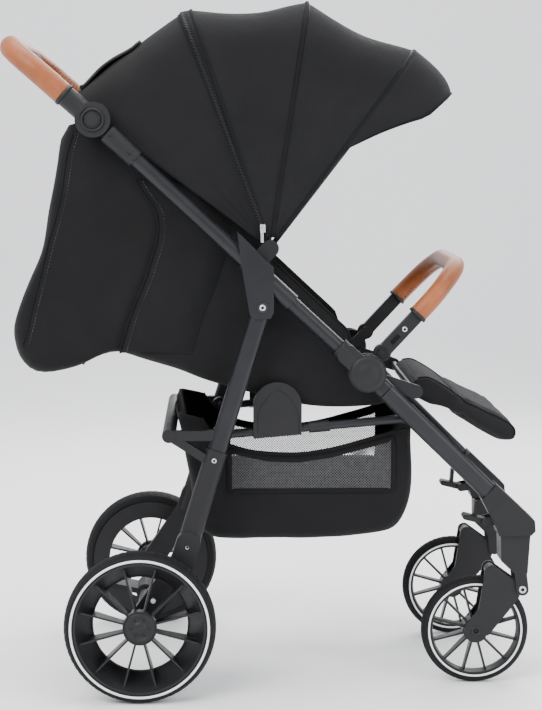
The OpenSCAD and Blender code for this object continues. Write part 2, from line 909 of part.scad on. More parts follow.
module rear_axle() {
    end_y = rear_wheel_y + rear_wheel_w / 2 - 13;
    color(satin_black) {
        cross_rod(rear_axle_at, -end_y, end_y, axle_r);
        cross_rod(rear_axle_at, -side_y + leg_t / 2, side_y - leg_t / 2, axle_tube_r);
    }
}

brake_pin_at = reach(rear_axle_at, 40, 60);

module axle_housings() {
    heel = reach(leg_pivot, rear_leg_len - 30, rear_dir);
    color(black_plastic) both_sides() difference() {
        plate(side_y - leg_t / 2, side_y + 13) {
            bar_2d(heel, rear_leg_end, leg_w + 9);
            bar_2d(rear_leg_end, rear_axle_at, 38);
        }
        leg(at_y(reach(leg_pivot, sleeve_from, rear_dir), side_y), at_y(rear_leg_end, side_y),
            leg_w + 2 * sleeve_wall, leg_t + 2 * sleeve_wall);
        cross_rod(rear_axle_at, 0, side_y + 30, axle_r);
        cross_rod(brake_pin_at, side_y + 2, side_y + 30, 4 + run_fit);
    }
}

module brake_pin() {
    color(silver) cross_rod(brake_pin_at, side_y + 3, side_y + 26, 4);
}

module brake_pin_left() {
    brake_pin();
}

module brake_pin_right() {
    mirror([0, 1, 0]) brake_pin();
}

module brake_pedal() {
    toe = rear_axle_at + [-66, 14];
    color(black_plastic) difference() {
        union() {
            plate(-34, 34) disc(rear_axle_at, axle_tube_r + 6);
            plate(-30, 30) bar_2d(rear_axle_at, toe, 9);
        }
        cross_rod(rear_axle_at, -40, 40, axle_tube_r + run_fit);
    }
}

// ---- Swivel locks behind the caster housings ----

lock_pivot = [caster_x - 42, spindle_z + 20];

module swivel_lock() {
    half = 12;
    color(black_plastic) difference() {
        union() {
            plate(caster_y - half, caster_y + half) {
                disc(lock_pivot, 5.5);
                bar_2d(lock_pivot, lock_pivot + [-32, 8], 9);
            }
            plate(caster_y - 8, caster_y + 8) bar_2d(lock_pivot + [-16, 5], lock_pivot + [-14, 30], 6);
        }
        cross_rod(lock_pivot, caster_y - 20, caster_y + 20, 3 + run_fit);
    }
}

module swivel_lock_left() {
    swivel_lock();
}

module swivel_lock_right() {
    mirror([0, 1, 0]) swivel_lock();
}

upper_tubes();
tube_sleeves();
handle_hubs();
fold_hubs();
leg_brackets();
leg_rivets();
canopy_mounts();
canopy_rear();
canopy_rib_rear();
seat_shell();
seat_pad();
harness();
bumper_sockets();
seat_crossbar();
push_handle();
handle_grip();
handle_knuckles();
handle_button_left();
handle_button_right();
canopy_mid();
canopy_rib_mid();
canopy_front();
canopy_rib_front();
canopy_visor();
backrest();
footrest();
bumper_bar();
bumper_grip();
bumper_ends();
bumper_button_left();
bumper_button_right();
front_legs();
front_crossbar();
caster_housings();
lower_links();
link_sleeves();
link_covers();
basket();
rear_legs();
rear_sleeves();
rear_crossbar();
rear_axle();
axle_housings();
caster_left();
caster_right();
arm_left();
arm_right();
front_wheel_left();
front_wheel_right();
front_tyre_left();
front_tyre_right();
rear_wheel_left();
rear_wheel_right();
rear_tyre_left();
rear_tyre_right();
brake_pedal();
brake_pin_left();
brake_pin_right();
swivel_lock_left();
swivel_lock_right();
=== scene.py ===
"""Baby stroller: fabric, leather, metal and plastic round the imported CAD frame."""

import json
import math

import bmesh
import bpy
import numpy as np
from mathutils import Matrix, Vector
from mathutils.bvhtree import BVHTree
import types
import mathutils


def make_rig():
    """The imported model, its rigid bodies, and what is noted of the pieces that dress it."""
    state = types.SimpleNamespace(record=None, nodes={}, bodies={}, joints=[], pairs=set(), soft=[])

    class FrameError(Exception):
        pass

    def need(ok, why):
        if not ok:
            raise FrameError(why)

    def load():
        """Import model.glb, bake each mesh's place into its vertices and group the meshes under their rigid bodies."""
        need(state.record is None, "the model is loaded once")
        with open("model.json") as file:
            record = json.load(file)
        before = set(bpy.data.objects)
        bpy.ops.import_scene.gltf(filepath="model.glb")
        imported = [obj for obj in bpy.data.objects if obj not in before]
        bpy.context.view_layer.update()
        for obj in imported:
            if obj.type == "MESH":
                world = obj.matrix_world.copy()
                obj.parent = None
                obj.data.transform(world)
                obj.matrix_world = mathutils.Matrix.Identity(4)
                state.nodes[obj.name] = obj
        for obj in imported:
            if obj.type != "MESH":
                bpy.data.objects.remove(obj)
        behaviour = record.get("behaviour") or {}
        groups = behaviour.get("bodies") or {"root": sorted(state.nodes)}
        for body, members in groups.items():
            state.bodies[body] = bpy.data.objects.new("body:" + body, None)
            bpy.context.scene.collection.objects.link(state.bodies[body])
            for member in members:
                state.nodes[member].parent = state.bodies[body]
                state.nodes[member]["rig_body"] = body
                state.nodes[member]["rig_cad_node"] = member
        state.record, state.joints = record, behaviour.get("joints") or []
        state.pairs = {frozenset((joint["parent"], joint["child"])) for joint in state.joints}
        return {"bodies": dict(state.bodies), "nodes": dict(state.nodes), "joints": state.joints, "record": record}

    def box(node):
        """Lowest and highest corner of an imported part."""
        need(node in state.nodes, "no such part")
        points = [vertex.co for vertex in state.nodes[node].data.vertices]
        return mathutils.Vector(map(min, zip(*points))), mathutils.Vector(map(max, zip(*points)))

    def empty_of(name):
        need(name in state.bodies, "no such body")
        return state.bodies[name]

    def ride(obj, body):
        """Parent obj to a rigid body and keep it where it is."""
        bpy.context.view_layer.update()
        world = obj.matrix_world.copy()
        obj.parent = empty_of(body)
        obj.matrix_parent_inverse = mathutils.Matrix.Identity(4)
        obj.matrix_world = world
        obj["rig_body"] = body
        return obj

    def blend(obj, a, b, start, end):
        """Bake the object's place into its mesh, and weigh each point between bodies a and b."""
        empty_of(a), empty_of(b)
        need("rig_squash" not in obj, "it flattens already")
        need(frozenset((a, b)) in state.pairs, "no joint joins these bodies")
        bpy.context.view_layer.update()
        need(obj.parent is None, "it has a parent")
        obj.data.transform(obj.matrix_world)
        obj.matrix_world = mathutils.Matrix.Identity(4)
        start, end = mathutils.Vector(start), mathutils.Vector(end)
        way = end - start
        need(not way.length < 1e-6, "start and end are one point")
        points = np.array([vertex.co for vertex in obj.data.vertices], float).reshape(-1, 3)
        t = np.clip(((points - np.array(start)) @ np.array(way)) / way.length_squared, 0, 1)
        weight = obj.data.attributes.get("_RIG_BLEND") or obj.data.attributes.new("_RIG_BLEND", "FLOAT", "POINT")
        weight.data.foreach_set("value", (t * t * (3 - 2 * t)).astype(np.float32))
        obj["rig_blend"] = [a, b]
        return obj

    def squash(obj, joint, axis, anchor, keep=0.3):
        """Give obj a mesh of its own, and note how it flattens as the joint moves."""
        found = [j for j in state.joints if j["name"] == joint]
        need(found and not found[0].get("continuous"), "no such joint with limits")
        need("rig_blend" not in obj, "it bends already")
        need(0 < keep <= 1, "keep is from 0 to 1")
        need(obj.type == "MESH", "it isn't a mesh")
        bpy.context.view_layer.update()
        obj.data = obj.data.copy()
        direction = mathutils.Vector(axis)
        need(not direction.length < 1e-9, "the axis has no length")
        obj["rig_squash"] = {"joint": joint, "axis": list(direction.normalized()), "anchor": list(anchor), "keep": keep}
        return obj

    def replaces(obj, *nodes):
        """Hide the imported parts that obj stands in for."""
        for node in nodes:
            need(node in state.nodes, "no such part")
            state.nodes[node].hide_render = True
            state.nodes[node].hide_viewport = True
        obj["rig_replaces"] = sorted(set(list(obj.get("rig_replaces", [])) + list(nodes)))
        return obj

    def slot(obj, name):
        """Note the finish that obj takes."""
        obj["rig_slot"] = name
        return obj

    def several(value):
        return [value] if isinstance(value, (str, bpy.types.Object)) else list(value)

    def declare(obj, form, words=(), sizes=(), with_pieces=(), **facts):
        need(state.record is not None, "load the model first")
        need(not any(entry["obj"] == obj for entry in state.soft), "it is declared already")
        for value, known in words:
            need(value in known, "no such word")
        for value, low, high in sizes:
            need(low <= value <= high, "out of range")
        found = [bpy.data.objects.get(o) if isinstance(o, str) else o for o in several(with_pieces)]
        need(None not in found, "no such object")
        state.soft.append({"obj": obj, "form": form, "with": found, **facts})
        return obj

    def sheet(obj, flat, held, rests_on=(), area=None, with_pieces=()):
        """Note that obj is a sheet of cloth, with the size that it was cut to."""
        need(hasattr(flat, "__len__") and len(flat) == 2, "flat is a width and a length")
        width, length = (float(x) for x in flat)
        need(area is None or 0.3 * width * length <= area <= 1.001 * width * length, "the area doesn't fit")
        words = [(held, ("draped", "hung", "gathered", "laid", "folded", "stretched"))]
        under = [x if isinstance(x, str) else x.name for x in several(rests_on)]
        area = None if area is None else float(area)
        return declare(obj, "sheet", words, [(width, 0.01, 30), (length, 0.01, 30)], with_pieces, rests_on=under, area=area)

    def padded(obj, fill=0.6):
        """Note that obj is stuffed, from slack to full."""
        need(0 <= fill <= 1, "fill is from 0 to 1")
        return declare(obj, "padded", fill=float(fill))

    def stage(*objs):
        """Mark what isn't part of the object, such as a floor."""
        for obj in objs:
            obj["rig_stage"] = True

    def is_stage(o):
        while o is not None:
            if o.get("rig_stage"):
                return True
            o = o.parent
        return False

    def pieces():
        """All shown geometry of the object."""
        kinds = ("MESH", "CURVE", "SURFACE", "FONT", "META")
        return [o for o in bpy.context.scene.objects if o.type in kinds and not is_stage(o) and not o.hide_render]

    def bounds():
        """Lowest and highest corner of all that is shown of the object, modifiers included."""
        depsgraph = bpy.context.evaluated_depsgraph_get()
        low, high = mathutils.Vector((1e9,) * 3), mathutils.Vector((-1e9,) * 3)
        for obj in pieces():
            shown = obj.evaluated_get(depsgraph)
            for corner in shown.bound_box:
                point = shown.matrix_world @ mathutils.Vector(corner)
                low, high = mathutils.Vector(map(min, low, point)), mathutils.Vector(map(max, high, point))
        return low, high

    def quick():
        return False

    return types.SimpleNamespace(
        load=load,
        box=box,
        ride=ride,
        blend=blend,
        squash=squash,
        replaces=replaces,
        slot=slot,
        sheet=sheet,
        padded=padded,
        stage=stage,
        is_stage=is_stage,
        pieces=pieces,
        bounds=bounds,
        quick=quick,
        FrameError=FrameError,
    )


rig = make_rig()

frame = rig.load()
cad_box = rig.bounds()

PIVOT = {j["name"]: Vector(j["pos_m"]) for j in frame["joints"] if j.get("pos_m")}
HUB = PIVOT["fold"]
HANDLE = PIVOT["handle_tilt"]
CANOPY = PIVOT["canopy_mid_fold"]
BUMPER = PIVOT["bumper_tilt"]
LEG = PIVOT["rear_leg_fold"]
LINK = PIVOT["lower_link_fold"]
SIDES = (("left", 1), ("right", -1))


# ---------------------------------------------------------------- materials

class Nodes:
    """A short way to build one material's node tree."""

    def __init__(self, name, color, roughness, metallic=0.0, sheen=0.0, specular=0.5):
        self.mat = bpy.data.materials.new(name)
        self.mat.use_nodes = True
        self.tree = self.mat.node_tree
        self.shader = self.tree.nodes["Principled BSDF"]
        self.set(self.shader, "Base Color", (*color, 1))
        self.set(self.shader, "Roughness", roughness)
        self.set(self.shader, "Metallic", metallic)
        self.set(self.shader, "Sheen Weight", sheen)
        self.set(self.shader, "Specular IOR Level", specular)
        self.place = self.tree.nodes.new("ShaderNodeTexCoord").outputs["Object"]

    def set(self, node, socket, value):
        node.inputs[socket].default_value = value

    def link(self, out, node, socket):
        self.tree.links.new(out, node.inputs[socket])

    def noise(self, scale, detail=3.0, roughness=0.55):
        node = self.tree.nodes.new("ShaderNodeTexNoise")
        self.link(self.place, node, "Vector")
        self.set(node, "Scale", scale)
        self.set(node, "Detail", detail)
        self.set(node, "Roughness", roughness)
        return node.outputs["Fac"]

    def cells(self, scale):
        node = self.tree.nodes.new("ShaderNodeTexVoronoi")
        node.feature = "DISTANCE_TO_EDGE"
        self.link(self.place, node, "Vector")
        self.set(node, "Scale", scale)
        return node.outputs["Distance"]

    def wave(self, direction, pitch, distortion=0.0):
        node = self.tree.nodes.new("ShaderNodeTexWave")
        node.bands_direction = direction
        self.link(self.place, node, "Vector")
        self.set(node, "Scale", math.pi / 10 / pitch)
        self.set(node, "Distortion", distortion)
        return node.outputs["Fac"]

    def math(self, kind, a, b):
        node = self.tree.nodes.new("ShaderNodeMath")
        node.operation = kind
        for i, value in enumerate((a, b)):
            if isinstance(value, (int, float)):
                node.inputs[i].default_value = value
            else:
                self.tree.links.new(value, node.inputs[i])
        return node.outputs[0]

    def ramp(self, value, stops):
        node = self.tree.nodes.new("ShaderNodeValToRGB")
        self.link(value, node, "Fac")
        while len(node.color_ramp.elements) < len(stops):
            node.color_ramp.elements.new(0.5)
        for element, (at, color) in zip(node.color_ramp.elements, stops):
            element.position = at
            element.color = (*color, 1)
        return node.outputs["Color"]

    def spread(self, value, low, high):
        node = self.tree.nodes.new("ShaderNodeMapRange")
        self.link(value, node, "Value")
        self.set(node, "To Min", low)
        self.set(node, "To Max", high)
        return node.outputs[0]

    def bump(self, height, distance, strength=1.0, under=None):
        node = self.tree.nodes.new("ShaderNodeBump")
        self.link(height, node, "Height")
        self.set(node, "Distance", distance)
        self.set(node, "Strength", strength)
        if under is not None:
            self.link(under, node, "Normal")
        return node.outputs["Normal"]

    def round_edges(self, radius):
        node = self.tree.nodes.new("ShaderNodeBevel")
        node.samples = 4
        self.set(node, "Radius", radius)
        return node.outputs["Normal"]

    def finish(self, color=None, roughness=None, normal=None):
        for out, socket in ((color, "Base Color"), (roughness, "Roughness"), (normal, "Normal")):
            if out is not None:
                self.link(out, self.shader, socket)
        return self.mat


def scaled(color, k):
    return tuple(min(1.0, c * k) for c in color)


def woven(name, color, pitch=0.0011, roughness=0.86, sheen=0.04, puckers=0.0012):
    """Plain-woven cloth: threads both ways, uneven dye, and soft puckers."""
    n = Nodes(name, color, roughness, sheen=sheen, specular=0.16)
    threads = n.math("ADD", n.wave("X", pitch),
                     n.math("ADD", n.wave("Z", pitch), n.wave("Y", pitch)))
    cloudy = n.noise(9, 4)
    fine = n.noise(900, 2)
    tone = n.math("ADD", n.math("MULTIPLY", cloudy, 0.7), n.math("MULTIPLY", fine, 0.3))
    base = n.ramp(tone, [(0.3, scaled(color, 0.72)), (0.7, scaled(color, 1.38))])
    folds = n.bump(n.noise(26, 3), puckers * 2, 0.5)
    normal = n.bump(threads, pitch * 0.25, 0.55, folds)
    return n.finish(base, n.spread(fine, roughness - 0.08, roughness + 0.1), normal)


def grained_plastic(name, color, roughness=0.48, grain=0.00012, edge=0.0009):
    """Moulded plastic with a spark-eroded grain and softened edges."""
    n = Nodes(name, color, roughness, specular=0.32)
    grain_map = n.noise(2400, 2)
    blotch = n.noise(35, 4)
    base = n.ramp(blotch, [(0.3, scaled(color, 0.8)), (0.72, scaled(color, 1.3))])
    normal = n.bump(grain_map, grain, 0.6, n.round_edges(edge))
    return n.finish(base, n.spread(blotch, roughness - 0.08, roughness + 0.1), normal)


def powder_coat(name, color, roughness=0.36):
    """Satin powder coat on tube: faint orange peel, metal flake and rubbed patches."""
    n = Nodes(name, color, roughness, metallic=0.2, specular=0.4)
    peel = n.noise(420, 2)
    rubbed = n.noise(14, 5)
    base = n.ramp(rubbed, [(0.35, scaled(color, 0.82)), (0.75, scaled(color, 1.45))])
    normal = n.bump(peel, 0.00018, 0.35, n.round_edges(0.0008))
    return n.finish(base, n.spread(rubbed, roughness - 0.07, roughness + 0.1), normal)


def leatherette(name, color):
    """Tan wrapped leatherette with a pebbled grain, its creases darkened with painted shade and its pebble tops
    lightened with a painted highlight.
    """
    n = Nodes(name, color, 0.42, sheen=0.02, specular=0.34)
    pebbles_and_crease_shade = n.cells(620)
    clouds = n.noise(22, 4)
    # painted shade and highlight: the pebble edges darken the colour in the grain's creases and their middles lighten
    # it, over random cloudy tone
    tone = n.math("ADD", n.math("MULTIPLY", clouds, 0.8), n.math("MULTIPLY", pebbles_and_crease_shade, 0.4))
    base = n.ramp(tone, [(0.25, scaled(color, 0.62)), (0.55, color), (0.85, scaled(color, 1.3))])
    folds = n.bump(n.noise(70, 3), 0.0006, 0.4)
    normal = n.bump(pebbles_and_crease_shade, 0.0005, 0.6, folds)
    return n.finish(base, n.spread(clouds, 0.34, 0.52), normal)


def tyre_rubber(name, color):
    """Foam rubber with a fine diagonal tread and a dusty bloom."""
    n = Nodes(name, color, 0.76, specular=0.22)
    dust = n.noise(60, 4)
    tread = n.math("MULTIPLY", n.wave("X", 0.0042, 1.5), n.wave("Z", 0.0042, 1.5))
    base = n.ramp(dust, [(0.3, scaled(color, 0.75)), (0.75, scaled(color, 1.5))])
    normal = n.bump(tread, 0.0007, 0.5, n.bump(n.noise(1300, 2), 0.0002, 0.5))
    return n.finish(base, n.spread(dust, 0.62, 0.86), normal)


def plain_metal(name, color, roughness):
    n = Nodes(name, color, roughness, metallic=1.0)
    marks = n.noise(260, 4)
    base = n.ramp(marks, [(0.3, scaled(color, 0.75)), (0.75, scaled(color, 1.15))])
    return n.finish(base, n.spread(marks, roughness - 0.06, roughness + 0.14),
                    n.round_edges(0.0004))


def net_thread(name, color):
    n = Nodes(name, color, 0.7, specular=0.35)
    tone = n.noise(120, 3)
    base = n.ramp(tone, [(0.3, scaled(color, 0.75)), (0.75, scaled(color, 1.2))])
    return n.finish(base, None, n.bump(n.noise(2500, 2), 0.0001, 0.5))


def reflective(name, color):
    n = Nodes(name, color, 0.35, specular=0.6)
    tone = n.noise(90, 3)
    base = n.ramp(tone, [(0.3, scaled(color, 0.88)), (0.7, color)])
    return n.finish(base, None, n.bump(n.cells(900), 0.0001, 0.4))


def webbing(name, color):
    n = Nodes(name, color, 0.7, sheen=0.3, specular=0.3)
    ribs = n.math("ADD", n.wave("DIAGONAL", 0.0016), n.wave("Y", 0.0012))
    base = n.ramp(n.noise(150, 3), [(0.3, scaled(color, 0.7)), (0.75, scaled(color, 1.4))])
    return n.finish(base, None, n.bump(ribs, 0.0005, 0.6))


M = {
    "canopy": woven("canopy_cloth", (0.0078, 0.0078, 0.0082)),
    "lining": woven("lining_cloth", (0.014, 0.014, 0.015), 0.0014),
    "seat": woven("seat_cloth", (0.0066, 0.0066, 0.0070)),
    "pad": woven("pad_cloth", (0.0082, 0.0082, 0.0088), 0.0016, 0.9, 0.05, 0.002),
    "basket": woven("basket_cloth", (0.0064, 0.0064, 0.0070), 0.0013),
    "binding": woven("binding_tape", (0.0042, 0.0042, 0.0045), 0.0009, 0.8, 0.02, 0.0004),
    "net": net_thread("grey_net", (0.105, 0.105, 0.11)),
    "webbing": webbing("black_webbing", (0.0065, 0.0065, 0.0068)),
    "metal": powder_coat("satin_black_tube", (0.0070, 0.0078, 0.0096)),
    "plastic": grained_plastic("black_plastic", (0.0050, 0.0050, 0.0055), 0.5),
    "wheel": grained_plastic("wheel_plastic", (0.0062, 0.0062, 0.0068), 0.44),
    "leather": leatherette("tan_leatherette", (0.31, 0.088, 0.026)),
    "thread": webbing("stitching", (0.17, 0.058, 0.022)),
    "dark_thread": webbing("dark_stitching", (0.016, 0.016, 0.017)),
    "rubber": tyre_rubber("tyre_rubber", (0.0056, 0.0056, 0.0060)),
    "white": reflective("reflective_ring", (0.84, 0.84, 0.84)),
    "steel": plain_metal("zinc_steel", (0.62, 0.62, 0.64), 0.3),
    "dark_steel": plain_metal("black_zinc", (0.055, 0.055, 0.060), 0.38),
}

SLOT_LOOK = {
    "canopy_fabric": "canopy", "seat_fabric": "seat", "basket_fabric": "basket", "mesh": "net",
    "webbing": "webbing", "frame_metal": "metal", "black_plastic": "plastic",
    "wheel_plastic": "wheel", "leather": "leather", "tyre_rubber": "rubber",
    "reflective": "white", "steel": "steel",
}


def dress_cad_nodes():
    for part in frame["record"]["subparts"]:
        node = frame["nodes"][part["node"]]
        look = M[SLOT_LOOK[part["material_slot"]]]
        if part["node"] == "leg_rivets":
            look = M["dark_steel"]
        node.data.materials.clear()
        node.data.materials.append(look)
        node.data.update()


# ---------------------------------------------------------------- mesh tools

def add_object(name, data):
    piece = bpy.data.objects.new(name, data)
    bpy.context.collection.objects.link(piece)
    return piece


def shade(mesh, smooth=True):
    mesh.polygons.foreach_set("use_smooth", [smooth] * len(mesh.polygons))


def from_bmesh(name, bm, materials):
    """A smooth-shaded object from a bmesh, which is then freed."""
    mesh = bpy.data.meshes.new(name)
    bm.to_mesh(mesh)
    bm.free()
    for material in materials:
        mesh.materials.append(material)
    shade(mesh)
    return add_object(name, mesh)


def mesh_piece(name, verts, faces, look, smooth=True):
    mesh = bpy.data.meshes.new(name)
    mesh.from_pydata([tuple(v) for v in verts], [], faces)
    mesh.validate()
    bm = bmesh.new()
    bm.from_mesh(mesh)
    bmesh.ops.recalc_face_normals(bm, faces=bm.faces)
    bm.to_mesh(mesh)
    bm.free()
    shade(mesh, smooth)
    mesh.materials.append(M[look])
    return add_object(name, mesh)


def grid_faces(rows, cols, wrap=False):
    faces = []
    for i in range(rows - 1):
        for j in range(cols if wrap else cols - 1):
            k = (j + 1) % cols
            faces.append((i * cols + j, i * cols + k, (i + 1) * cols + k, (i + 1) * cols + j))
    return faces


def tube_faces(count, sides):
    """Faces round a line of rings, and one over each end."""
    last = (count - 1) * sides
    return grid_faces(count, sides, wrap=True) + [
        tuple(range(sides)), tuple(last + k for k in reversed(range(sides)))]


def ring_faces(turns, cols, closed=True):
    """Faces of a section turned full circle, the section itself closed or open."""
    faces = []
    for i in range(turns):
        n = (i + 1) % turns
        for j in range(cols if closed else cols - 1):
            k = (j + 1) % cols
            faces.append((i * cols + j, i * cols + k, n * cols + k, n * cols + j))
    return faces


def line_length(line):
    return sum((b - a).length for a, b in zip(line, line[1:]))


def quads(rows):
    """The four corners of each cell between rows of points."""
    for r0, r1 in zip(rows, rows[1:]):
        yield from zip(r0, r0[1:], r1[1:], r1)


def quad_area(a, b, c, d):
    return ((b - a).cross(d - a).length + (b - c).cross(d - c).length) / 2


def apply_modifiers(piece):
    bpy.context.view_layer.update()
    graph = bpy.context.evaluated_depsgraph_get()
    mesh = bpy.data.meshes.new_from_object(piece.evaluated_get(graph))
    piece.modifiers.clear()
    piece.data = mesh
    return piece


def thicken(piece, thickness, offset=-1.0):
    solid = piece.modifiers.new("cloth", "SOLIDIFY")
    solid.thickness = thickness
    solid.offset = offset
    return apply_modifiers(piece)


def sheet_piece(name, rows, look, thickness=0.0022, offset=-1.0):
    """A cloth sheet through rows of points, with a real thickness."""
    verts = [p for row in rows for p in row]
    piece = mesh_piece(name, verts, grid_faces(len(rows), len(rows[0])), look)
    return thicken(piece, thickness, offset)


def smooth_path(points, steps=8):
    """A smooth line through the points (Catmull-Rom)."""
    pts = [Vector(p) for p in points]
    ends = [pts[0] * 2 - pts[1]] + pts + [pts[-1] * 2 - pts[-2]]
    out = []
    for a, b, c, d in zip(ends, ends[1:], ends[2:], ends[3:]):
        for i in range(steps):
            t = i / steps
            out.append(0.5 * (2 * b + (c - a) * t + (2 * a - 5 * b + 4 * c - d) * t * t
                              + (3 * b - a - 3 * c + d) * t * t * t))
    return out + [pts[-1]]


def spaced(path, count):
    """The same line with its points evenly spaced."""
    path = [Vector(p) for p in path]
    ends = [0.0]
    for a, b in zip(path, path[1:]):
        ends.append(ends[-1] + (b - a).length)
    out = []
    k = 0
    for i in range(count):
        want = ends[-1] * i / (count - 1)
        while k < len(path) - 2 and ends[k + 1] < want:
            k += 1
        span = ends[k + 1] - ends[k] or 1.0
        out.append(path[k].lerp(path[k + 1], (want - ends[k]) / span))
    return out


def ribbon(name, path, width, height, look, side=Vector((0, 1, 0)), sides=8, closed=False):
    """A tube of oval section along a path: width along the side direction, height across it."""
    path = [Vector(p) for p in path]
    verts = []
    count = len(path)
    for i, p in enumerate(path):
        before = path[i - 1] if i or closed else p
        after = path[(i + 1) % count] if i < count - 1 or closed else p
        along = (after - before).normalized()
        flat = (side - along * side.dot(along)).normalized()
        up = along.cross(flat)
        for k in range(sides):
            a = math.tau * (k + 0.5) / sides
            verts.append(p + flat * math.cos(a) * width / 2 + up * math.sin(a) * height / 2)
    faces = ring_faces(count, sides) if closed else tube_faces(count, sides)
    return mesh_piece(name, verts, faces, look)


def lathe(name, profile, look, centre, axis, turns=64, closed=False):
    """Turns a (radius, along-axis) profile about an axis."""
    axis = Vector(axis).normalized()
    across = Vector((1, 0, 0)) if abs(axis.x) < 0.9 else Vector((0, 0, 1))
    across = (across - axis * across.dot(axis)).normalized()
    other = axis.cross(across)
    verts = []
    for i in range(turns):
        a = math.tau * i / turns
        spoke = across * math.cos(a) + other * math.sin(a)
        verts += [Vector(centre) + spoke * r + axis * h for r, h in profile]
    piece = mesh_piece(name, verts, ring_faces(turns, len(profile), closed), look)
    bm = bmesh.new()
    bm.from_mesh(piece.data)
    bmesh.ops.remove_doubles(bm, verts=bm.verts, dist=1e-6)
    bmesh.ops.recalc_face_normals(bm, faces=bm.faces)
    bm.to_mesh(piece.data)
    bm.free()
    return piece


def join(name, pieces):
    """Several pieces as one."""
    bm = bmesh.new()
    for p in pieces:
        p.data.transform(p.matrix_world)
        bm.from_mesh(p.data)
    whole = from_bmesh(name, bm, pieces[0].data.materials)
    for p in pieces:
        bpy.data.objects.remove(p)
    return whole


def seat_on(piece, body, slot_name, *nodes):
    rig.ride(piece, body)
    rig.slot(piece, slot_name)
    if nodes:
        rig.replaces(piece, *nodes)
    return piece


def wrinkle(p, size, scale, seed=0.0):
    """A smooth made-up height for creases, the same every run."""
    x, y, z = (c * scale for c in p)
    return size * (math.sin(x * 1.7 + 1.3 * math.sin(z * 0.9 + seed) + seed)
                   * math.cos(z * 1.3 + 0.8 * math.sin(y * 1.1 + seed)) * 0.6
                   + 0.4 * math.sin(3.1 * x + 2.3 * z + seed * 2) * math.cos(2.1 * y + seed))


def stitches(name, path, length, look, radius):
    """A row of sewn stitches along a path, each a short raised thread."""
    line = [Vector(p) for p in path]
    marks = spaced(line, 2 * max(2, int(line_length(line) / length)))
    return join(name, [ribbon("t", [a, a.lerp(b, 0.5), b], radius * 2, radius * 2, look, sides=5,
                              side=Vector((0.3, 0.9, 0.2)))
                       for a, b in zip(marks[::2], marks[1::2])])


# ---------------------------------------------------------------- shared places

def at(x, y, z):
    """A point given in millimetres."""
    return Vector((x, y, z)) / 1000


def onto(piece, points, direction, lift):
    """The points moved along a direction onto a piece's surface, then lifted off it."""
    bm = bmesh.new()
    bm.from_mesh(piece.data)
    bm.transform(piece.matrix_world)
    tree = BVHTree.FromBMesh(bm)
    direction = Vector(direction).normalized()
    out = []
    for p in points:
        hit, normal, _, _ = tree.ray_cast(Vector(p) - direction * 0.3, direction)
        if hit is not None:
            if normal.dot(direction) > 0:
                normal = -normal
            out.append(hit + normal * lift)
    bm.free()
    return out


def cloth_sheet(name, rows, look, body, slot_name, held, rests, nodes=(), thickness=0.0022,
                offset=-1.0):
    """A declared cloth sheet through rows of points, on a body if one is given."""
    rows = [[Vector(p) for p in row] for row in rows]
    area = sum(quad_area(*corners) for corners in quads(rows))
    width = max(line_length(row) for row in rows)
    length = max(line_length(col) for col in zip(*rows))
    piece = sheet_piece(name, rows, look, thickness, offset)
    if body:
        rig.ride(piece, body)
    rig.slot(piece, slot_name)
    if nodes:
        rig.replaces(piece, *nodes)
    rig.sheet(piece, flat=(width, length), held=held, rests_on=rests,
             area=min(area, width * length))
    return piece


# ---------------------------------------------------------------- canopy

REAR_RIB, MID_RIB, FRONT_RIB, REAR_EDGE, VISOR_EDGE = 109.0, 81.1, 53.2, 143.5, 40.0
REAR_END = (0.3990, 0.1968)
CANOPY_CORNER = 0.07            # radius of the shell's long corners
CLOTH_START = 0.018             # how near the pivot the cloth begins
VISOR_START = 0.197             # how near the pivot the visor begins
SHELL = {REAR_RIB: (0.4022, 0.1968), MID_RIB: (0.3985, 0.1930), FRONT_RIB: (0.3948, 0.1892)}


def canopy_profile(r, hw, corner, start, side_n=16, arc_n=7, top_n=22):
    """(distance from the pivot, across) up one side, over the top and down the other."""
    half = [(start + (r - corner - start) * i / side_n, hw) for i in range(side_n)]
    half += [(r - corner + corner * math.sin(a), hw - corner + corner * math.cos(a))
             for a in (math.pi / 2 * i / arc_n for i in range(arc_n))]
    top = [(r, (hw - corner) * (1 - 2 * i / top_n)) for i in range(top_n + 1)]
    return half + top + [(d, -y) for d, y in reversed(half)]


def canopy_point(theta, dist, y):
    a = math.radians(theta)
    return Vector((CANOPY.x + dist * math.cos(a), y, CANOPY.z + dist * math.sin(a)))


# Each panel: the angles of its two edges, the shell (reach, half width) at each, sag, crease seed
PANELS = {
    "rear": (REAR_EDGE, REAR_RIB, REAR_END, SHELL[REAR_RIB], 0.014, 1.0),
    "mid": (REAR_RIB, MID_RIB, SHELL[REAR_RIB], SHELL[MID_RIB], 0.023, 2.2),
    "front": (MID_RIB, FRONT_RIB, SHELL[MID_RIB], SHELL[FRONT_RIB], 0.023, 3.7),
}


def panel_row(panel, t, lift=0.0):
    """One line of a panel's cloth, a share t of the way between its edges, drawn inward."""
    a0, a1, shell0, shell1, dip, seed = PANELS[panel]
    theta = a0 + (a1 - a0) * t
    r = shell0[0] + (shell1[0] - shell0[0]) * t + lift
    hw = shell0[1] + (shell1[1] - shell0[1]) * t + lift
    sag = math.sin(math.pi * t)
    row = []
    for dist, y in canopy_profile(r, hw, CANOPY_CORNER, CLOTH_START):
        share = (dist - CLOTH_START) / (r - CLOTH_START)
        dist -= dip * sag * share ** 3
        pull = 0.006 * sag * math.sin(math.pi * min(1, share)) ** 0.8
        y -= math.copysign(pull, y) * min(1, abs(y) / 0.12)
        p = canopy_point(theta, dist, y)
        crease = wrinkle(p, 0.0011, 24, seed) * (0.35 + sag)
        fan = 0.0011 * math.sin(theta * 0.9 + seed) * (1 - share) * sag
        if abs(y) > hw - 0.03:
            p.y += math.copysign(crease + fan, y)
        else:
            p += (p - canopy_point(theta, 0, y)).normalized() * crease
        row.append(p)
    return row


def panel_rows(panel, count=27):
    return [panel_row(panel, i / (count - 1)) for i in range(count)]


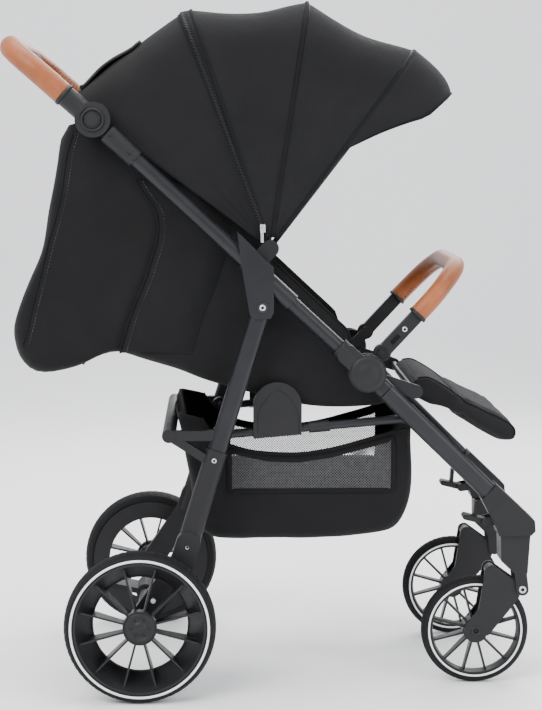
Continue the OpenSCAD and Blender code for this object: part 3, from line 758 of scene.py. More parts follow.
def panel_line(panel, theta, lift, count=150):
    """A line on a panel's cloth at an angle, lifted off it."""
    a0, a1 = PANELS[panel][:2]
    return spaced(panel_row(panel, (theta - a0) / (a1 - a0), lift), count)


def build_canopy():
    cloth = {}
    for panel, body, rests in (("rear", "upper_frame", "canopy_rib_rear"),
                               ("mid", None, ("canopy_rib_rear", "canopy_rib_mid")),
                               ("front", None, ("canopy_rib_mid", "canopy_rib_front"))):
        cloth[panel] = cloth_sheet(f"canopy_{panel}_cloth", panel_rows(panel), "canopy", body,
                                   "canopy_fabric", "stretched", rests, (f"canopy_{panel}",))
    blend_between(cloth["mid"], "upper_frame", "canopy_mid", REAR_RIB, MID_RIB)
    blend_between(cloth["front"], "canopy_mid", "canopy_front", MID_RIB, FRONT_RIB)

    for theta, panel, body in ((REAR_RIB - 0.7, "mid", "upper_frame"),
                               (MID_RIB, "front", "canopy_mid"),
                               (FRONT_RIB, "front", "canopy_front")):
        square = math.radians(theta - 90)
        band = ribbon(f"{body}_rib_binding", panel_line(panel, theta, 0.0004), 0.006, 0.0042,
                      "binding", side=Vector((math.cos(square), 0, math.sin(square))))
        seat_on(band, body, "canopy_fabric")
    build_zip()
    build_visor()
    build_rear_flap()


def blend_between(piece, a, b, theta0, theta1):
    start = canopy_point(theta0, 0.40, 0)
    end = canopy_point(theta1, 0.40, 0)
    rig.blend(piece, a, b, start, end)


BOX_FACES = ((0, 1, 2, 3), (7, 6, 5, 4), (0, 4, 5, 1), (1, 5, 6, 2), (2, 6, 7, 3), (3, 7, 4, 0))


def build_zip():
    """The zip that joins the rear panel: tape, two rows of teeth and a steel puller."""
    half_w = SHELL[REAR_RIB][1]
    tape = sheet_piece("zip_tape", [panel_line("rear", REAR_RIB + k, 0.0006)
                                    for k in (0.4, 0.95, 1.5, 2.05, 2.6)], "binding", 0.0012, 1.0)
    seat_on(tape, "upper_frame", "canopy_fabric")
    line = panel_line("rear", REAR_RIB + 1.5, 0.0022, 420)
    verts, faces = [], []
    for i in range(6, len(line) - 6):
        p, along = line[i], (line[i + 1] - line[i]).normalized()
        out = (p - Vector((CANOPY.x, p.y, CANOPY.z))).normalized()
        if abs(p.y) > half_w - 0.01:
            out = Vector((0, math.copysign(1, p.y), 0))
        across = along.cross(out).normalized()
        shift = across * (0.0012 if i % 2 else -0.0012)
        base = len(verts)
        for h in (-0.0009, 0.0009):
            for w, l in ((-0.0021, -0.0009), (0.0021, -0.0009), (0.0021, 0.0009),
                         (-0.0021, 0.0009)):
                verts.append(p + shift + across * w + along * l + out * h)
        faces += [tuple(base + k for k in f) for f in BOX_FACES]
    teeth = mesh_piece("zip_teeth", verts, faces, "plastic", smooth=False)
    seat_on(teeth, "upper_frame", "canopy_fabric")
    for name, side in SIDES:
        p = canopy_point(REAR_RIB + 1.45, 0.034, side * (half_w + 0.0045))
        slider = rounded_box(f"zip_slider_{name}", p, (0.009, 0.004, 0.013), "steel", 0.0012)
        pull = rounded_box(f"zip_pull_{name}", p + Vector((-0.001, side * 0.0018, -0.014)),
                           (0.005, 0.0018, 0.017), "steel", 0.0008)
        for piece in (slider, pull):
            seat_on(piece, "upper_frame", "steel")


def rounded_box(name, centre, size, look, radius, turn=None):
    bm = bmesh.new()
    bmesh.ops.create_cube(bm, size=1)
    bmesh.ops.scale(bm, vec=size, verts=bm.verts)
    bmesh.ops.bevel(bm, geom=bm.edges[:], offset=radius, segments=3, affect="EDGES", profile=0.5)
    if turn is not None:
        bmesh.ops.transform(bm, matrix=turn.to_4x4(), verts=bm.verts)
    bmesh.ops.translate(bm, vec=centre, verts=bm.verts)
    return from_bmesh(name, bm, [M[look]])


def visor_edge(dist, top):
    share = min(1.0, max(0.0, (dist - VISOR_START) / (top - VISOR_START)))
    return FRONT_RIB - (FRONT_RIB - VISOR_EDGE) * share ** 0.8


def build_visor():
    r0, hw0 = SHELL[FRONT_RIB]
    top = r0 - CANOPY_CORNER
    rows = []
    count = 12
    for i in range(count):
        t = i / (count - 1)
        row = []
        r = r0 + 0.0018 - 0.0100 * t ** 5
        hw = hw0 + 0.0018 - 0.0050 * t ** 5
        for dist, y in canopy_profile(r, hw, CANOPY_CORNER, VISOR_START):
            theta = FRONT_RIB + (visor_edge(dist, top) - FRONT_RIB) * t
            p = canopy_point(theta, dist, y)
            row.append(p + Vector((0, 0, wrinkle(p, 0.0006, 26, 5.0) * t)))
        rows.append(row)
    cloth_sheet("canopy_visor_cloth", rows, "canopy", "canopy_visor", "canopy_fabric", "stretched",
                "canopy_rib_front", ("canopy_visor",), thickness=0.0028)
    edge = ribbon("visor_edge_binding", rows[-1], 0.0036, 0.0034, "binding")
    seat_on(edge, "canopy_visor", "canopy_fabric")
    arm_at = 52.4
    eye_shape = [(0.0065, -0.0012), (0.0118, -0.0012), (0.0118, 0.0012), (0.0065, 0.0012)]
    for name, side in SIDES:
        y = side * 0.1815
        arm = ribbon(f"visor_arm_{name}",
                     [canopy_point(arm_at, d, y) for d in (0.010, 0.07, 0.14, 0.21)],
                     0.009, 0.0024, "plastic", side=canopy_point(arm_at + 90, 1, 0) - CANOPY)
        eye = lathe(f"visor_eye_{name}", eye_shape, "plastic", (CANOPY.x, y, CANOPY.z), (0, 1, 0),
                    40, closed=True)
        for piece in (arm, eye):
            seat_on(piece, "canopy_visor", "black_plastic")


def build_rear_flap():
    """A window cover folded back along the top of the rear panel, its roll standing proud."""
    rows = []
    for i in range(15):
        t = i / 14
        theta = 139.5 - 17.5 * t
        lift = 0.0022 + 0.0052 * (math.sin(math.pi * min(1, t * 1.15)) ** 2 if t < 0.87 else 0.12)
        row = []
        for j in range(33):
            s = 1 - 2 * j / 32
            y = 0.150 * s
            sag = math.sin(math.pi * (theta - REAR_EDGE) / (REAR_RIB - REAR_EDGE))
            r = 0.3990 + 0.0032 * (REAR_EDGE - theta) / (REAR_EDGE - REAR_RIB) - 0.014 * sag
            if abs(y) > 0.1268:
                r -= 0.07 - math.sqrt(max(0, 0.07 ** 2 - (abs(y) - 0.1268) ** 2))
            p = canopy_point(theta, r + lift, y)
            p += Vector((0, 0, wrinkle(p, 0.0008, 30, 8.0)))
            row.append(p)
        rows.append(row)
    cloth_sheet("window_cover", rows, "lining", "upper_frame", "canopy_fabric", "folded",
                "canopy_rear_cloth", thickness=0.0020, offset=1.0)
    roll = ribbon("window_cover_roll", rows[0], 0.0085, 0.0075, "binding")
    seat_on(roll, "upper_frame", "canopy_fabric")


# ---------------------------------------------------------------- padding

SIM_FRAMES = 20

def inflated(piece, voxel, pressure, cap, held_at, anchor):
    """Remeshes a soft block and blows it up gently with a cloth simulation, no point further than
    cap. It is held along sewn lines, and wherever anchor says so."""
    remesh = piece.modifiers.new("remesh", "REMESH")
    remesh.mode = "VOXEL"
    remesh.voxel_size = voxel
    apply_modifiers(piece)
    rest = np.array([v.co for v in piece.data.vertices])
    pinned = []
    for i, v in enumerate(piece.data.vertices):
        if any(abs((v.co - p).dot(d)) < half for p, d, half in held_at) or anchor(v.co):
            pinned.append(i)
    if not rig.quick():
        group = piece.vertex_groups.new(name="sewn")
        if pinned:
            group.add(pinned, 1.0, "REPLACE")
        cloth = piece.modifiers.new("cloth", "CLOTH")
        s = cloth.settings
        s.quality = 4
        s.mass = 0.15
        s.tension_stiffness = s.compression_stiffness = 12
        s.shear_stiffness = 8
        s.bending_stiffness = 0.6
        s.use_pressure = True
        s.uniform_pressure_force = pressure
        s.effector_weights.gravity = 0
        s.vertex_group_mass = "sewn"
        s.pin_stiffness = 1
        cloth.collision_settings.use_collision = False
        scene = bpy.context.scene
        for step in range(1, SIM_FRAMES + 1):
            scene.frame_set(step)
        apply_modifiers(piece)
        scene.frame_set(1)
        piece.vertex_groups.clear()
        now = np.array([v.co for v in piece.data.vertices])
        moved = now - rest
        size = np.linalg.norm(moved, axis=1, keepdims=True)
        moved *= np.minimum(1, cap / np.maximum(size, 1e-9))
        piece.data.vertices.foreach_set("co", (rest + moved).ravel())
    soften = piece.modifiers.new("soften", "SMOOTH")
    soften.factor = 0.5
    soften.iterations = 3
    sub = piece.modifiers.new("subdivide", "SUBSURF")
    sub.levels = sub.render_levels = 1
    apply_modifiers(piece)
    shade(piece.data)


def prism(name, outline, half_w, look, steps=10):
    """A block with a side-view outline, straight across from -half_w to half_w."""
    verts = []
    for i in range(steps + 1):
        y = half_w * (2 * i / steps - 1)
        verts += [Vector((p.x, y, p.z)) for p in outline]
    n = len(outline)
    faces = grid_faces(steps + 1, n, wrap=True)
    faces += [tuple(range(n)), tuple(steps * n + k for k in range(n))]
    return mesh_piece(name, verts, faces, look)


def bag_row(edge, hem, half_w, corner, counts, wall_at, creases, droop):
    """One row of a bag's cloth: down one side wall, across its floor and up the other wall.
    corner is the rounding (largest radius, share of the depth), counts the points (wall, floor),
    wall_at the wall's y at a share of its height, and droop the floor's (sag, size, scale, seed).
    """
    inward = hem - edge
    depth = inward.length
    inward = inward.normalized() if depth > 1e-6 else Vector((0, 0, 1))
    r = min(corner[0], depth * corner[1])
    wall_n, floor_n = counts
    half = [(hem.lerp(edge + inward * r, j / wall_n), wall_at(j / wall_n, depth))
            for j in range(wall_n)]
    for j in range(6):
        a = math.pi / 2 * j / 6
        half.append((edge + inward * r * (1 - math.sin(a)), half_w - r + r * math.cos(a)))
    row = []
    for p, y in half:
        q = Vector((p.x, y, p.z))
        q.y += sum(wrinkle(q, *c) for c in creases[0])
        row.append(q)
    sag, size, scale, seed = droop
    for j in range(floor_n + 1):
        y = (half_w - r) * (1 - 2 * j / floor_n)
        q = edge + Vector((0, y, 0))
        q -= inward * (sag * math.cos(y / half_w * math.pi / 2) + wrinkle(q, size, scale, seed))
        row.append(q)
    for p, y in reversed(half):
        q = Vector((p.x, -y, p.z))
        q.y -= sum(wrinkle(q, *c) for c in creases[1])
        row.append(q)
    return row


def crossing_lines(places, direction, half):
    """Lines for inflated() to hold, as (point, direction across the line, half width)."""
    return [(Vector(p), Vector(direction).normalized(), half) for p in places]


# ---------------------------------------------------------------- seat

PAD_VOXEL, PRESSURE = 0.0055, 4.0
PAD_HELD = 0.004                # half width of the strip held along a sewn line
LONG_SEAMS = (-0.098, 0.098)    # across, the two seams that run along the seat pads
SEAM_W = 0.0026

POUCH = [(-318, 908), (-328, 892), (-333, 879), (-342, 826), (-352, 772), (-359, 727), (-367, 697),
         (-384, 658), (-398, 625), (-407, 596), (-409, 575), (-403, 546), (-393, 528), (-378, 515),
         (-358, 511), (-334, 514), (-305, 522), (-274, 537), (-254, 543), (-236, 543), (-205, 534),
         (-149, 517), (-100, 497), (-30, 478), (50, 458), (120, 454), (168, 455), (196, 462),
         (208, 478)]


def seat_frame():
    """Along-the-tube and above-the-tube directions of the side frame."""
    back = (HANDLE - HUB).normalized()
    up = Vector((-back.z, 0, back.x))
    return back, (up if up.z > 0 else -up)


def build_seat():
    back, above = seat_frame()
    count = 84
    outer = spaced(smooth_path([at(x, 0, z) for x, z in POUCH], 6), count)
    top = HUB + back * 0.552 + above * 0.028
    low = HUB + back * 0.066 + above * 0.028
    rim = spaced([at(-306, 0, 911), top, HUB + back * 0.31 + above * 0.029, low,
                  HUB + back * 0.020 + above * 0.003, HUB + Vector((0.026, 0, -0.016)),
                  at(212, 0, 486)], count)
    half_w = 0.1765
    rows = []
    for i, (edge, hem) in enumerate(zip(outer, rim)):
        along = i / (count - 1)

        def wall_at(s, depth):
            bulge = 0.0065 * math.sin(math.pi * s) ** 0.8 * min(1, depth / 0.15)
            bulge *= 0.65 + 0.35 * math.sin(6.0 * along + 1.0)
            return half_w + bulge - 0.004 * (1 - s) * (along < 0.75)

        rows.append(bag_row(edge, hem, half_w, (0.022, 0.8), (20, 22), wall_at,
                            (((0.0016, 15, 1.5), (0.0007, 41, 4.0)),
                             ((0.0016, 15, 2.9), (0.0007, 41, 6.0))), (0.004, 0.0014, 18, 2.5)))
    shell = cloth_sheet("seat_pouch", rows, "seat", "upper_frame", "seat_fabric", "hung",
                        ("upper_tubes", "seat_crossbar"), ("seat_shell",), thickness=0.0026)
    for side_name, side in SIDES:
        hem_line = [row[0] if side > 0 else row[-1] for row in rows]
        hem = ribbon(f"seat_hem_{side_name}", hem_line, 0.0042, 0.0042, "binding")
        seat_on(hem, "upper_frame", "seat_fabric")
    build_seat_seams(shell)
    build_seat_flaps(shell)


BACK_SEAM = [(-312, 893), (-322, 858), (-330, 805), (-341, 757), (-350, 727), (-360, 688),
             (-369, 652), (-378, 619), (-387, 582), (-394, 556)]
FLAP_EDGE = [(-213, 820), (-200, 798), (-183, 776), (-177, 752), (-178, 730), (-187, 697),
             (-201, 655), (-219, 613), (-230, 578), (-239, 548)]


def build_seat_seams(shell):
    for name, side in SIDES:
        pts = smooth_path([at(x, side * 178, z) for x, z in BACK_SEAM], 8)
        line = onto(shell, pts, (0, -side, 0), 0.0007)
        cord = ribbon(f"back_seam_{name}", line, 0.0036, 0.0036, "binding")
        seat_on(cord, "upper_frame", "seat_fabric")
        line = onto(shell, [p + Vector((0.010, 0, 0.002)) for p in pts], (0, -side, 0), 0.0003)
        sewn = stitches(f"back_stitch_{name}", line, 0.0052, "dark_thread", 0.0005)
        seat_on(sewn, "upper_frame", "webbing")
    pts = [at(-300, y, 520) for y in range(-160, 161, 10)]
    line = onto(shell, pts, (0.25, 0, 1), 0.0006)
    seat_on(ribbon("pouch_floor_seam", line, 0.0034, 0.0034, "binding", side=Vector((1, 0, 0))),
            "upper_frame", "seat_fabric")


def build_seat_flaps(shell):
    """The front part of each side wall laps over the rear part along a curved hem."""
    for name, side in SIDES:
        edge = spaced(smooth_path([at(x, side * 178, z) for x, z in FLAP_EDGE], 6), 34)
        rows = []
        for t in (0.0, 0.10, 0.25, 0.45, 0.7, 1.0):
            ahead = [p + Vector((0.115, 0, -0.006)) * t for p in edge]
            lift = 0.0045 * (1 - t) ** 1.5 + 0.0012
            row = onto(shell, ahead, (0, -side, 0), lift)
            rows.append(row)
        n = min(len(r) for r in rows)
        rows = [spaced(r, n) for r in rows]
        cloth_sheet(f"side_flap_{name}", rows, "seat", "upper_frame", "seat_fabric", "laid",
                    "seat_pouch", thickness=0.0012, offset=side * 1.0)
        hem = ribbon(f"side_flap_hem_{name}", [p + Vector((0, side * 0.0008, 0)) for p in rows[0]],
                     0.0030, 0.0030, "binding")
        seat_on(hem, "upper_frame", "seat_fabric")
        sewn = stitches(f"side_flap_stitch_{name}",
                        [p + Vector((0, side * 0.0009, 0)) for p in rows[1]], 0.0052, "dark_thread",
                        0.0005)
        seat_on(sewn, "upper_frame", "webbing")


def slab(name, origin, direction, length, t0, t1, half_w, look, inset=0.004, round_r=0.007, n=30):
    """A soft block lying along a direction in side view, from t0 below to t1 above its line."""
    along = Vector((math.cos(math.radians(direction)), 0, math.sin(math.radians(direction))))
    up = Vector((-along.z, 0, along.x))
    if up.z < 0:
        up = -up
    outline = []
    for i in range(n + 1):
        s = inset + (length - 2 * inset) * i / n
        ease = min(1.0, min(s, length - s) / round_r)
        outline.append(origin + along * s + up * (t1 * math.sqrt(max(0.05, 1 - (1 - ease) ** 2))))
    for i in range(n, -1, -1):
        s = inset + (length - 2 * inset) * i / n
        outline.append(origin + along * s + up * t0)
    return prism(name, outline, half_w, look), along, up


def surface_seam(name, pad, points, direction, body):
    """A sewn channel's seam, laid along points on a pad."""
    line = onto(pad, points, direction, 0.0004)
    seat_on(ribbon(name, line, SEAM_W, SEAM_W * 0.8, "binding"), body, "seat_fabric")


def aside(y):
    return Vector((0, y, 0))


def across_points(start, reach_mm):
    """Points 4 mm apart across the seat, from one side of start to the other."""
    return [start + aside(y / 1000) for y in range(-reach_mm, reach_mm + 1, 4)]


def sewn_lines(base, along, channels):
    """Where a seat pad is held while it swells: its channels across, and two long seams."""
    held = crossing_lines([base + along * c for c in channels], along, PAD_HELD)
    return held + crossing_lines([aside(y) for y in LONG_SEAMS], (0, 1, 0), PAD_HELD)


def sew(name, pad, body, base, along, up, high, channels, steps):
    """The seams of a seat pad, dropped onto it from a height."""
    for i, c in enumerate(channels):
        pts = across_points(base + along * c + up * high, 158)
        surface_seam(f"{name}_channel_{i}", pad, pts, -up, body)
    for i, y in enumerate(LONG_SEAMS):
        pts = [base + along * step + up * high + aside(y) for step in steps]
        surface_seam(f"{name}_seam_{i}", pad, pts, -up, body)


def build_pads():
    pivot = PIVOT["recline"]
    half_w = 0.1635
    pad, along, up = slab("backrest_pad", pivot, 165.5, 0.423, -0.0095, 0.0085, half_w, "pad")
    channels = [0.085, 0.165, 0.245, 0.325]
    bottom = pivot - up * 0.0088
    inflated(pad, PAD_VOXEL, PRESSURE, 0.009, sewn_lines(pivot, along, channels),
             lambda c: (c - bottom).dot(up) < 0)
    seat_on(pad, "backrest", "seat_fabric", "backrest")
    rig.padded(pad, 0.45)
    sew("backrest", pad, "backrest", pivot, along, up, 0.05, channels,
        [0.012 + 0.4 * k / 60 for k in range(61)])
    loop = [(0.006, -1), (0.417, -1), (0.417, 1), (0.006, 1)]
    pts = []
    for (s0, w0), (s1, w1) in zip(loop, loop[1:] + loop[:1]):
        for k in range(24):
            t = k / 24
            pts.append(pivot + along * (s0 + (s1 - s0) * t) + aside((w0 + (w1 - w0) * t) * half_w))
    piping = ribbon("backrest_piping", pts, 0.0044, 0.0044, "binding", closed=True, side=up)
    seat_on(piping, "backrest", "seat_fabric")
    barrel = lathe("backrest_barrel",
                   [(0.0, -0.160), (0.0105, -0.160), (0.0117, -0.155), (0.0117, 0.155),
                    (0.0105, 0.160), (0.0, 0.160)], "binding", pivot, (0, 1, 0), 40)
    seat_on(barrel, "backrest", "seat_fabric")

    seat_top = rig.box("seat_pad")[1].z
    rear = pivot + Vector((0.018, 0, -0.019))
    front = HUB + Vector((0.044, 0, -0.034))
    run = front - rear
    slope = math.degrees(math.atan2(run.z, run.x))
    thick = seat_top - max(rear.z, front.z)
    seat, s_along, s_up = slab("seat_cushion", rear + Vector((0.002, 0, 0.003)), slope,
                               run.length - 0.004, 0.0, max(0.012, thick - 0.008), half_w, "pad")
    channels = [run.length * k for k in (0.33, 0.66)]
    base = rear + s_up * 0.005
    inflated(seat, PAD_VOXEL, PRESSURE, 0.008, sewn_lines(rear, s_along, channels),
             lambda c: (c - base).dot(s_up) < 0)
    seat_on(seat, "upper_frame", "seat_fabric", "seat_pad")
    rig.padded(seat, 0.5)
    sew("seat", seat, "upper_frame", rear, s_along, s_up, 0.08, channels,
        [run.length * (0.04 + 0.92 * k / 30) for k in range(31)])
    return pad, seat, along, up, s_along, s_up


FOOT = [(-2, 14), (10, 18), (22, 20), (40, 10), (60, -2), (84, -18), (108, -33), (125, -42),
        (141, -49), (158, -59), (170, -67), (177, -76), (178, -86), (172, -94), (160, -93),
        (140, -82), (118, -70),
        (96, -57), (74, -46), (58, -37), (46, -31), (24, -27), (-4, -12), (-10, 0)]


def build_footrest():
    pivot = PIVOT["footrest_tilt"]
    tilt = at(181, 0, -76).normalized()
    up = Vector((-tilt.z, 0, tilt.x))
    centre = pivot + at(84, 0, -35)
    outline = []
    for x, z in FOOT:
        p = pivot + at(x, 0, z)
        outline.append(p - (p - centre).normalized() * 0.0045)
    pad = prism("footrest_cushion", outline, 0.1455, "pad", steps=24)
    held = crossing_lines([pivot + tilt * 0.072], tilt, PAD_HELD)
    inflated(pad, 0.005, PRESSURE, 0.007, held, lambda c: (c - pivot).dot(tilt) < 0.012)
    seat_on(pad, "footrest", "seat_fabric", "footrest")
    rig.padded(pad, 0.6)
    surface_seam("footrest_channel", pad, across_points(pivot + tilt * 0.072 + up * 0.1, 142),
                 -up, "footrest")
    for name, side in SIDES:
        rim = smooth_path([pivot + at(x, side * 146, z - 3) for x, z in FOOT[1:16]], 5)
        line = onto(pad, [Vector((p.x, side * 0.1380, p.z)) for p in rim], -up, 0.0006)
        seat_on(ribbon(f"footrest_piping_{name}", line, 0.0034, 0.0034, "binding"), "footrest",
                "seat_fabric")
    edge_pts = [pivot + at(150, y, -54) + up * 0.08 for y in range(-136, 137, 4)]
    line = onto(pad, edge_pts, -up, 0.0006)
    seat_on(stitches("footrest_stitch", line, 0.006, "dark_thread", 0.0006), "footrest", "webbing")


# ---------------------------------------------------------------- harness

# Section of a webbing strap, in widths and thicknesses
STRAP = ((-0.5, -0.35), (-0.46, -0.5), (0.46, -0.5), (0.5, -0.35), (0.5, 0.35), (0.46, 0.5),
         (0.18, 0.56), (-0.18, 0.56), (-0.46, 0.5), (-0.5, 0.35))


def strap(name, points, width, side=Vector((0, 1, 0)), thickness=0.0018):
    path = smooth_path(points, 8)
    verts = []
    count = len(path)
    for i, p in enumerate(path):
        along = (path[min(i + 1, count - 1)] - path[max(i - 1, 0)]).normalized()
        flat = (side - along * side.dot(along)).normalized()
        up = along.cross(flat)
        verts += [p + flat * w * width + up * h * thickness for w, h in STRAP]
    return mesh_piece(name, verts, tube_faces(count, len(STRAP)), "webbing")


def level_with(along):
    """The turn that lays a box along a direction in side view."""
    return Matrix.Rotation(-math.atan2(along.z, along.x), 3, "Y")


def build_harness(back_pad, seat, along, up, s_along, s_up):
    pivot = PIVOT["recline"]
    on_seat = HUB + at(-40, 0, -8)
    buckle_at = onto(seat, [on_seat + s_up * 0.05], -s_up, 0.008)[0]
    turn = level_with(s_along)
    buckle = rounded_box("buckle", buckle_at, (0.040, 0.036, 0.013), "plastic", 0.004, turn)
    button = lathe("buckle_button",
                   [(0.0, 0.0088), (0.0075, 0.0088), (0.0088, 0.0080), (0.0088, 0.0055),
                    (0.0, 0.0055)], "wheel", buckle_at, s_up, 40)
    seat_on(buckle, "upper_frame", "black_plastic", "harness")
    seat_on(button, "upper_frame", "black_plastic")
    pts = [on_seat + Vector((0.004 + 0.009 * k, 0, 0)) + s_up * 0.05 for k in range(6)]
    crotch = onto(seat, pts, -s_up, 0.0028)
    seat_on(strap("crotch_strap", crotch, 0.028), "upper_frame", "webbing")
    cover = rounded_box("crotch_pad", crotch[len(crotch) // 2] + s_up * 0.003,
                        (0.046, 0.040, 0.008), "pad", 0.0038, turn)
    seat_on(cover, "upper_frame", "seat_fabric")
    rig.padded(cover, 0.6)
    for name, side in SIDES:
        pts = [on_seat + Vector((-0.002 - 0.026 * t, side * (0.018 + 0.122 * t), 0)) + s_up * 0.05
               for t in (0, 0.2, 0.4, 0.6, 0.8, 1.0)]
        line = onto(seat, pts, -s_up, 0.0034)
        seat_on(strap(f"waist_strap_{name}", line, 0.024, s_along), "upper_frame", "webbing")
        tongue = rounded_box(f"buckle_tongue_{name}", buckle_at + aside(side * 0.023),
                             (0.022, 0.016, 0.006), "plastic", 0.002, turn)
        seat_on(tongue, "upper_frame", "black_plastic")
        slide = rounded_box(f"waist_slide_{name}", line[3] + s_up * 0.002, (0.030, 0.016, 0.006),
                            "plastic", 0.002, turn)
        seat_on(slide, "upper_frame", "black_plastic")
        pts = [pivot + along * (0.028 + 0.302 * t) + aside(side * (0.030 + 0.028 * t)) + up * 0.06
               for t in (k / 12 for k in range(13))]
        line = onto(back_pad, pts, -up, 0.0030)
        seat_on(strap(f"shoulder_strap_{name}", line, 0.025), "backrest", "webbing")
        tip = strap(f"shoulder_lead_{name}",
                    [buckle_at + Vector((-0.016, side * 0.012, 0.001)),
                     buckle_at.lerp(line[0], 0.5) + up * 0.006, line[0] + up * 0.0004,
                     line[6] + up * 0.0006], 0.023)
        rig.blend(tip, "upper_frame", "backrest", buckle_at, line[6])
        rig.slot(tip, "webbing")
        padded_run = line[int(len(line) * 0.42):int(len(line) * 0.86)]
        sleeve = soft_sleeve(f"shoulder_pad_{name}", padded_run, 0.046, 0.009, up)
        seat_on(sleeve, "backrest", "seat_fabric")
        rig.padded(sleeve, 0.6)
        ladder = rounded_box(f"shoulder_slide_{name}", line[3] + up * 0.003,
                             (0.016, 0.032, 0.006), "plastic", 0.002, level_with(along))
        seat_on(ladder, "backrest", "black_plastic")


def soft_sleeve(name, line, width, thick, up):
    path = smooth_path(line, 5)
    count = len(path)
    verts = []
    for i, p in enumerate(path):
        t = i / (count - 1)
        cap = math.sqrt(max(0.02, 1 - abs(2 * t - 1) ** 6))
        for k in range(18):
            a = math.tau * k / 18
            c, s = math.cos(a), math.sin(a)
            w = math.copysign(abs(c) ** 0.55, c) * width / 2 * (0.86 + 0.14 * cap)
            h = math.copysign(abs(s) ** 0.75, s) * thick / 2 * cap
            verts.append(p + Vector((0, w, 0)) + up * (h + 0.002))
    return mesh_piece(name, verts, tube_faces(count, 18), "pad")


# ---------------------------------------------------------------- basket

BASKET = [(-150, 445), (-147, 432), (-141, 410), (-134, 372), (-128, 340), (-123, 300), (-118, 272),
          (-110, 252), (-95, 241), (-72, 236), (0, 236), (70, 236), (120, 238), (170, 243),
          (197, 249), (214, 262), (226, 285), (232, 312), (234, 345), (233, 380), (231, 418)]
BASKET_HALF_W = 0.1615
RIM = [(-108, 436), (-98, 420), (-76, 399), (-40, 385), (0, 379), (50, 378), (100, 385), (150, 398),
       (199, 412), (222, 419)]


def rim_height(x):
    pts = [(-64, 392), (0, 378), (50, 377), (100, 384), (150, 397), (203, 412)]
    for (x0, z0), (x1, z1) in zip(pts, pts[1:]):
        if x0 <= x <= x1:
            return (z0 + (z1 - z0) * (x - x0) / (x1 - x0)) / 1000
    return 0.4


def in_window(p):
    """Whether a point of a side wall is in its net window."""
    x = p.x * 1000
    return abs(p.y) > 0.15 and -62 < x < 201 and 0.3185 < p.z < rim_height(x) - 0.0105


def basket_move(piece, slot_name, *nodes):
    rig.ride(piece, "lower_links")
    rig.slot(piece, slot_name)
    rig.squash(piece, "fold", (0, 0, 1), (0, 0, 0.43), 0.3)
    if nodes:
        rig.replaces(piece, *nodes)
    return piece


def build_basket():
    count = 150
    outer = spaced(smooth_path([at(x, 0, z) for x, z in BASKET], 6), count)
    rim = spaced(smooth_path([at(x, 0, z) for x, z in RIM], 6), count)

    def wall_at(s, depth):
        return BASKET_HALF_W + 0.0045 * math.sin(math.pi * s) * min(1, depth / 0.1)

    rows = [bag_row(edge, hem, BASKET_HALF_W, (0.020, 0.7), (40, 30), wall_at,
                    (((0.0013, 22, 0.7),), ((0.0013, 22, 1.9),)), (0.003, 0.0012, 24, 3.5))
            for edge, hem in zip(outer, rim)]
    area = sum(quad_area(a, b, c, d) for a, b, c, d in quads(rows) if not in_window((a + c) / 2))
    width = max(line_length(row) for row in rows)
    length = line_length(outer)
    verts = [p for row in rows for p in row]
    faces = [f for f in grid_faces(len(rows), len(rows[0]))
             if not in_window(sum((verts[k] for k in f), Vector()) / 4)]
    cloth = mesh_piece("basket_cloth", verts, faces, "basket")
    thicken(cloth, 0.0024)
    basket_move(cloth, "basket_fabric", "basket")
    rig.sheet(cloth, flat=(width, length), held="hung", rests_on=("lower_links", "rear_crossbar"),
             area=area)
    for name, side in SIDES:
        hem_line = [row[0] if side > 0 else row[-1] for row in rows]
        hem_line = [p + Vector((0, side * 0.001, -0.001)) for p in hem_line]
        hem = ribbon(f"basket_hem_{name}", hem_line, 0.0052, 0.0062, "binding")
        basket_move(hem, "basket_fabric")
        build_window(name, side, rows)


def wall_y(rows, side, x, z):
    """Across-position of the basket's side wall at a side-view place, from the nearest point."""
    best, found = 1e9, BASKET_HALF_W
    for row in rows[::3]:
        for q in row[:46:3] if side > 0 else row[-46::3]:
            d = (q.x - x) ** 2 + (q.z - z) ** 2
            if d < best:
                best, found = d, q.y
    return found


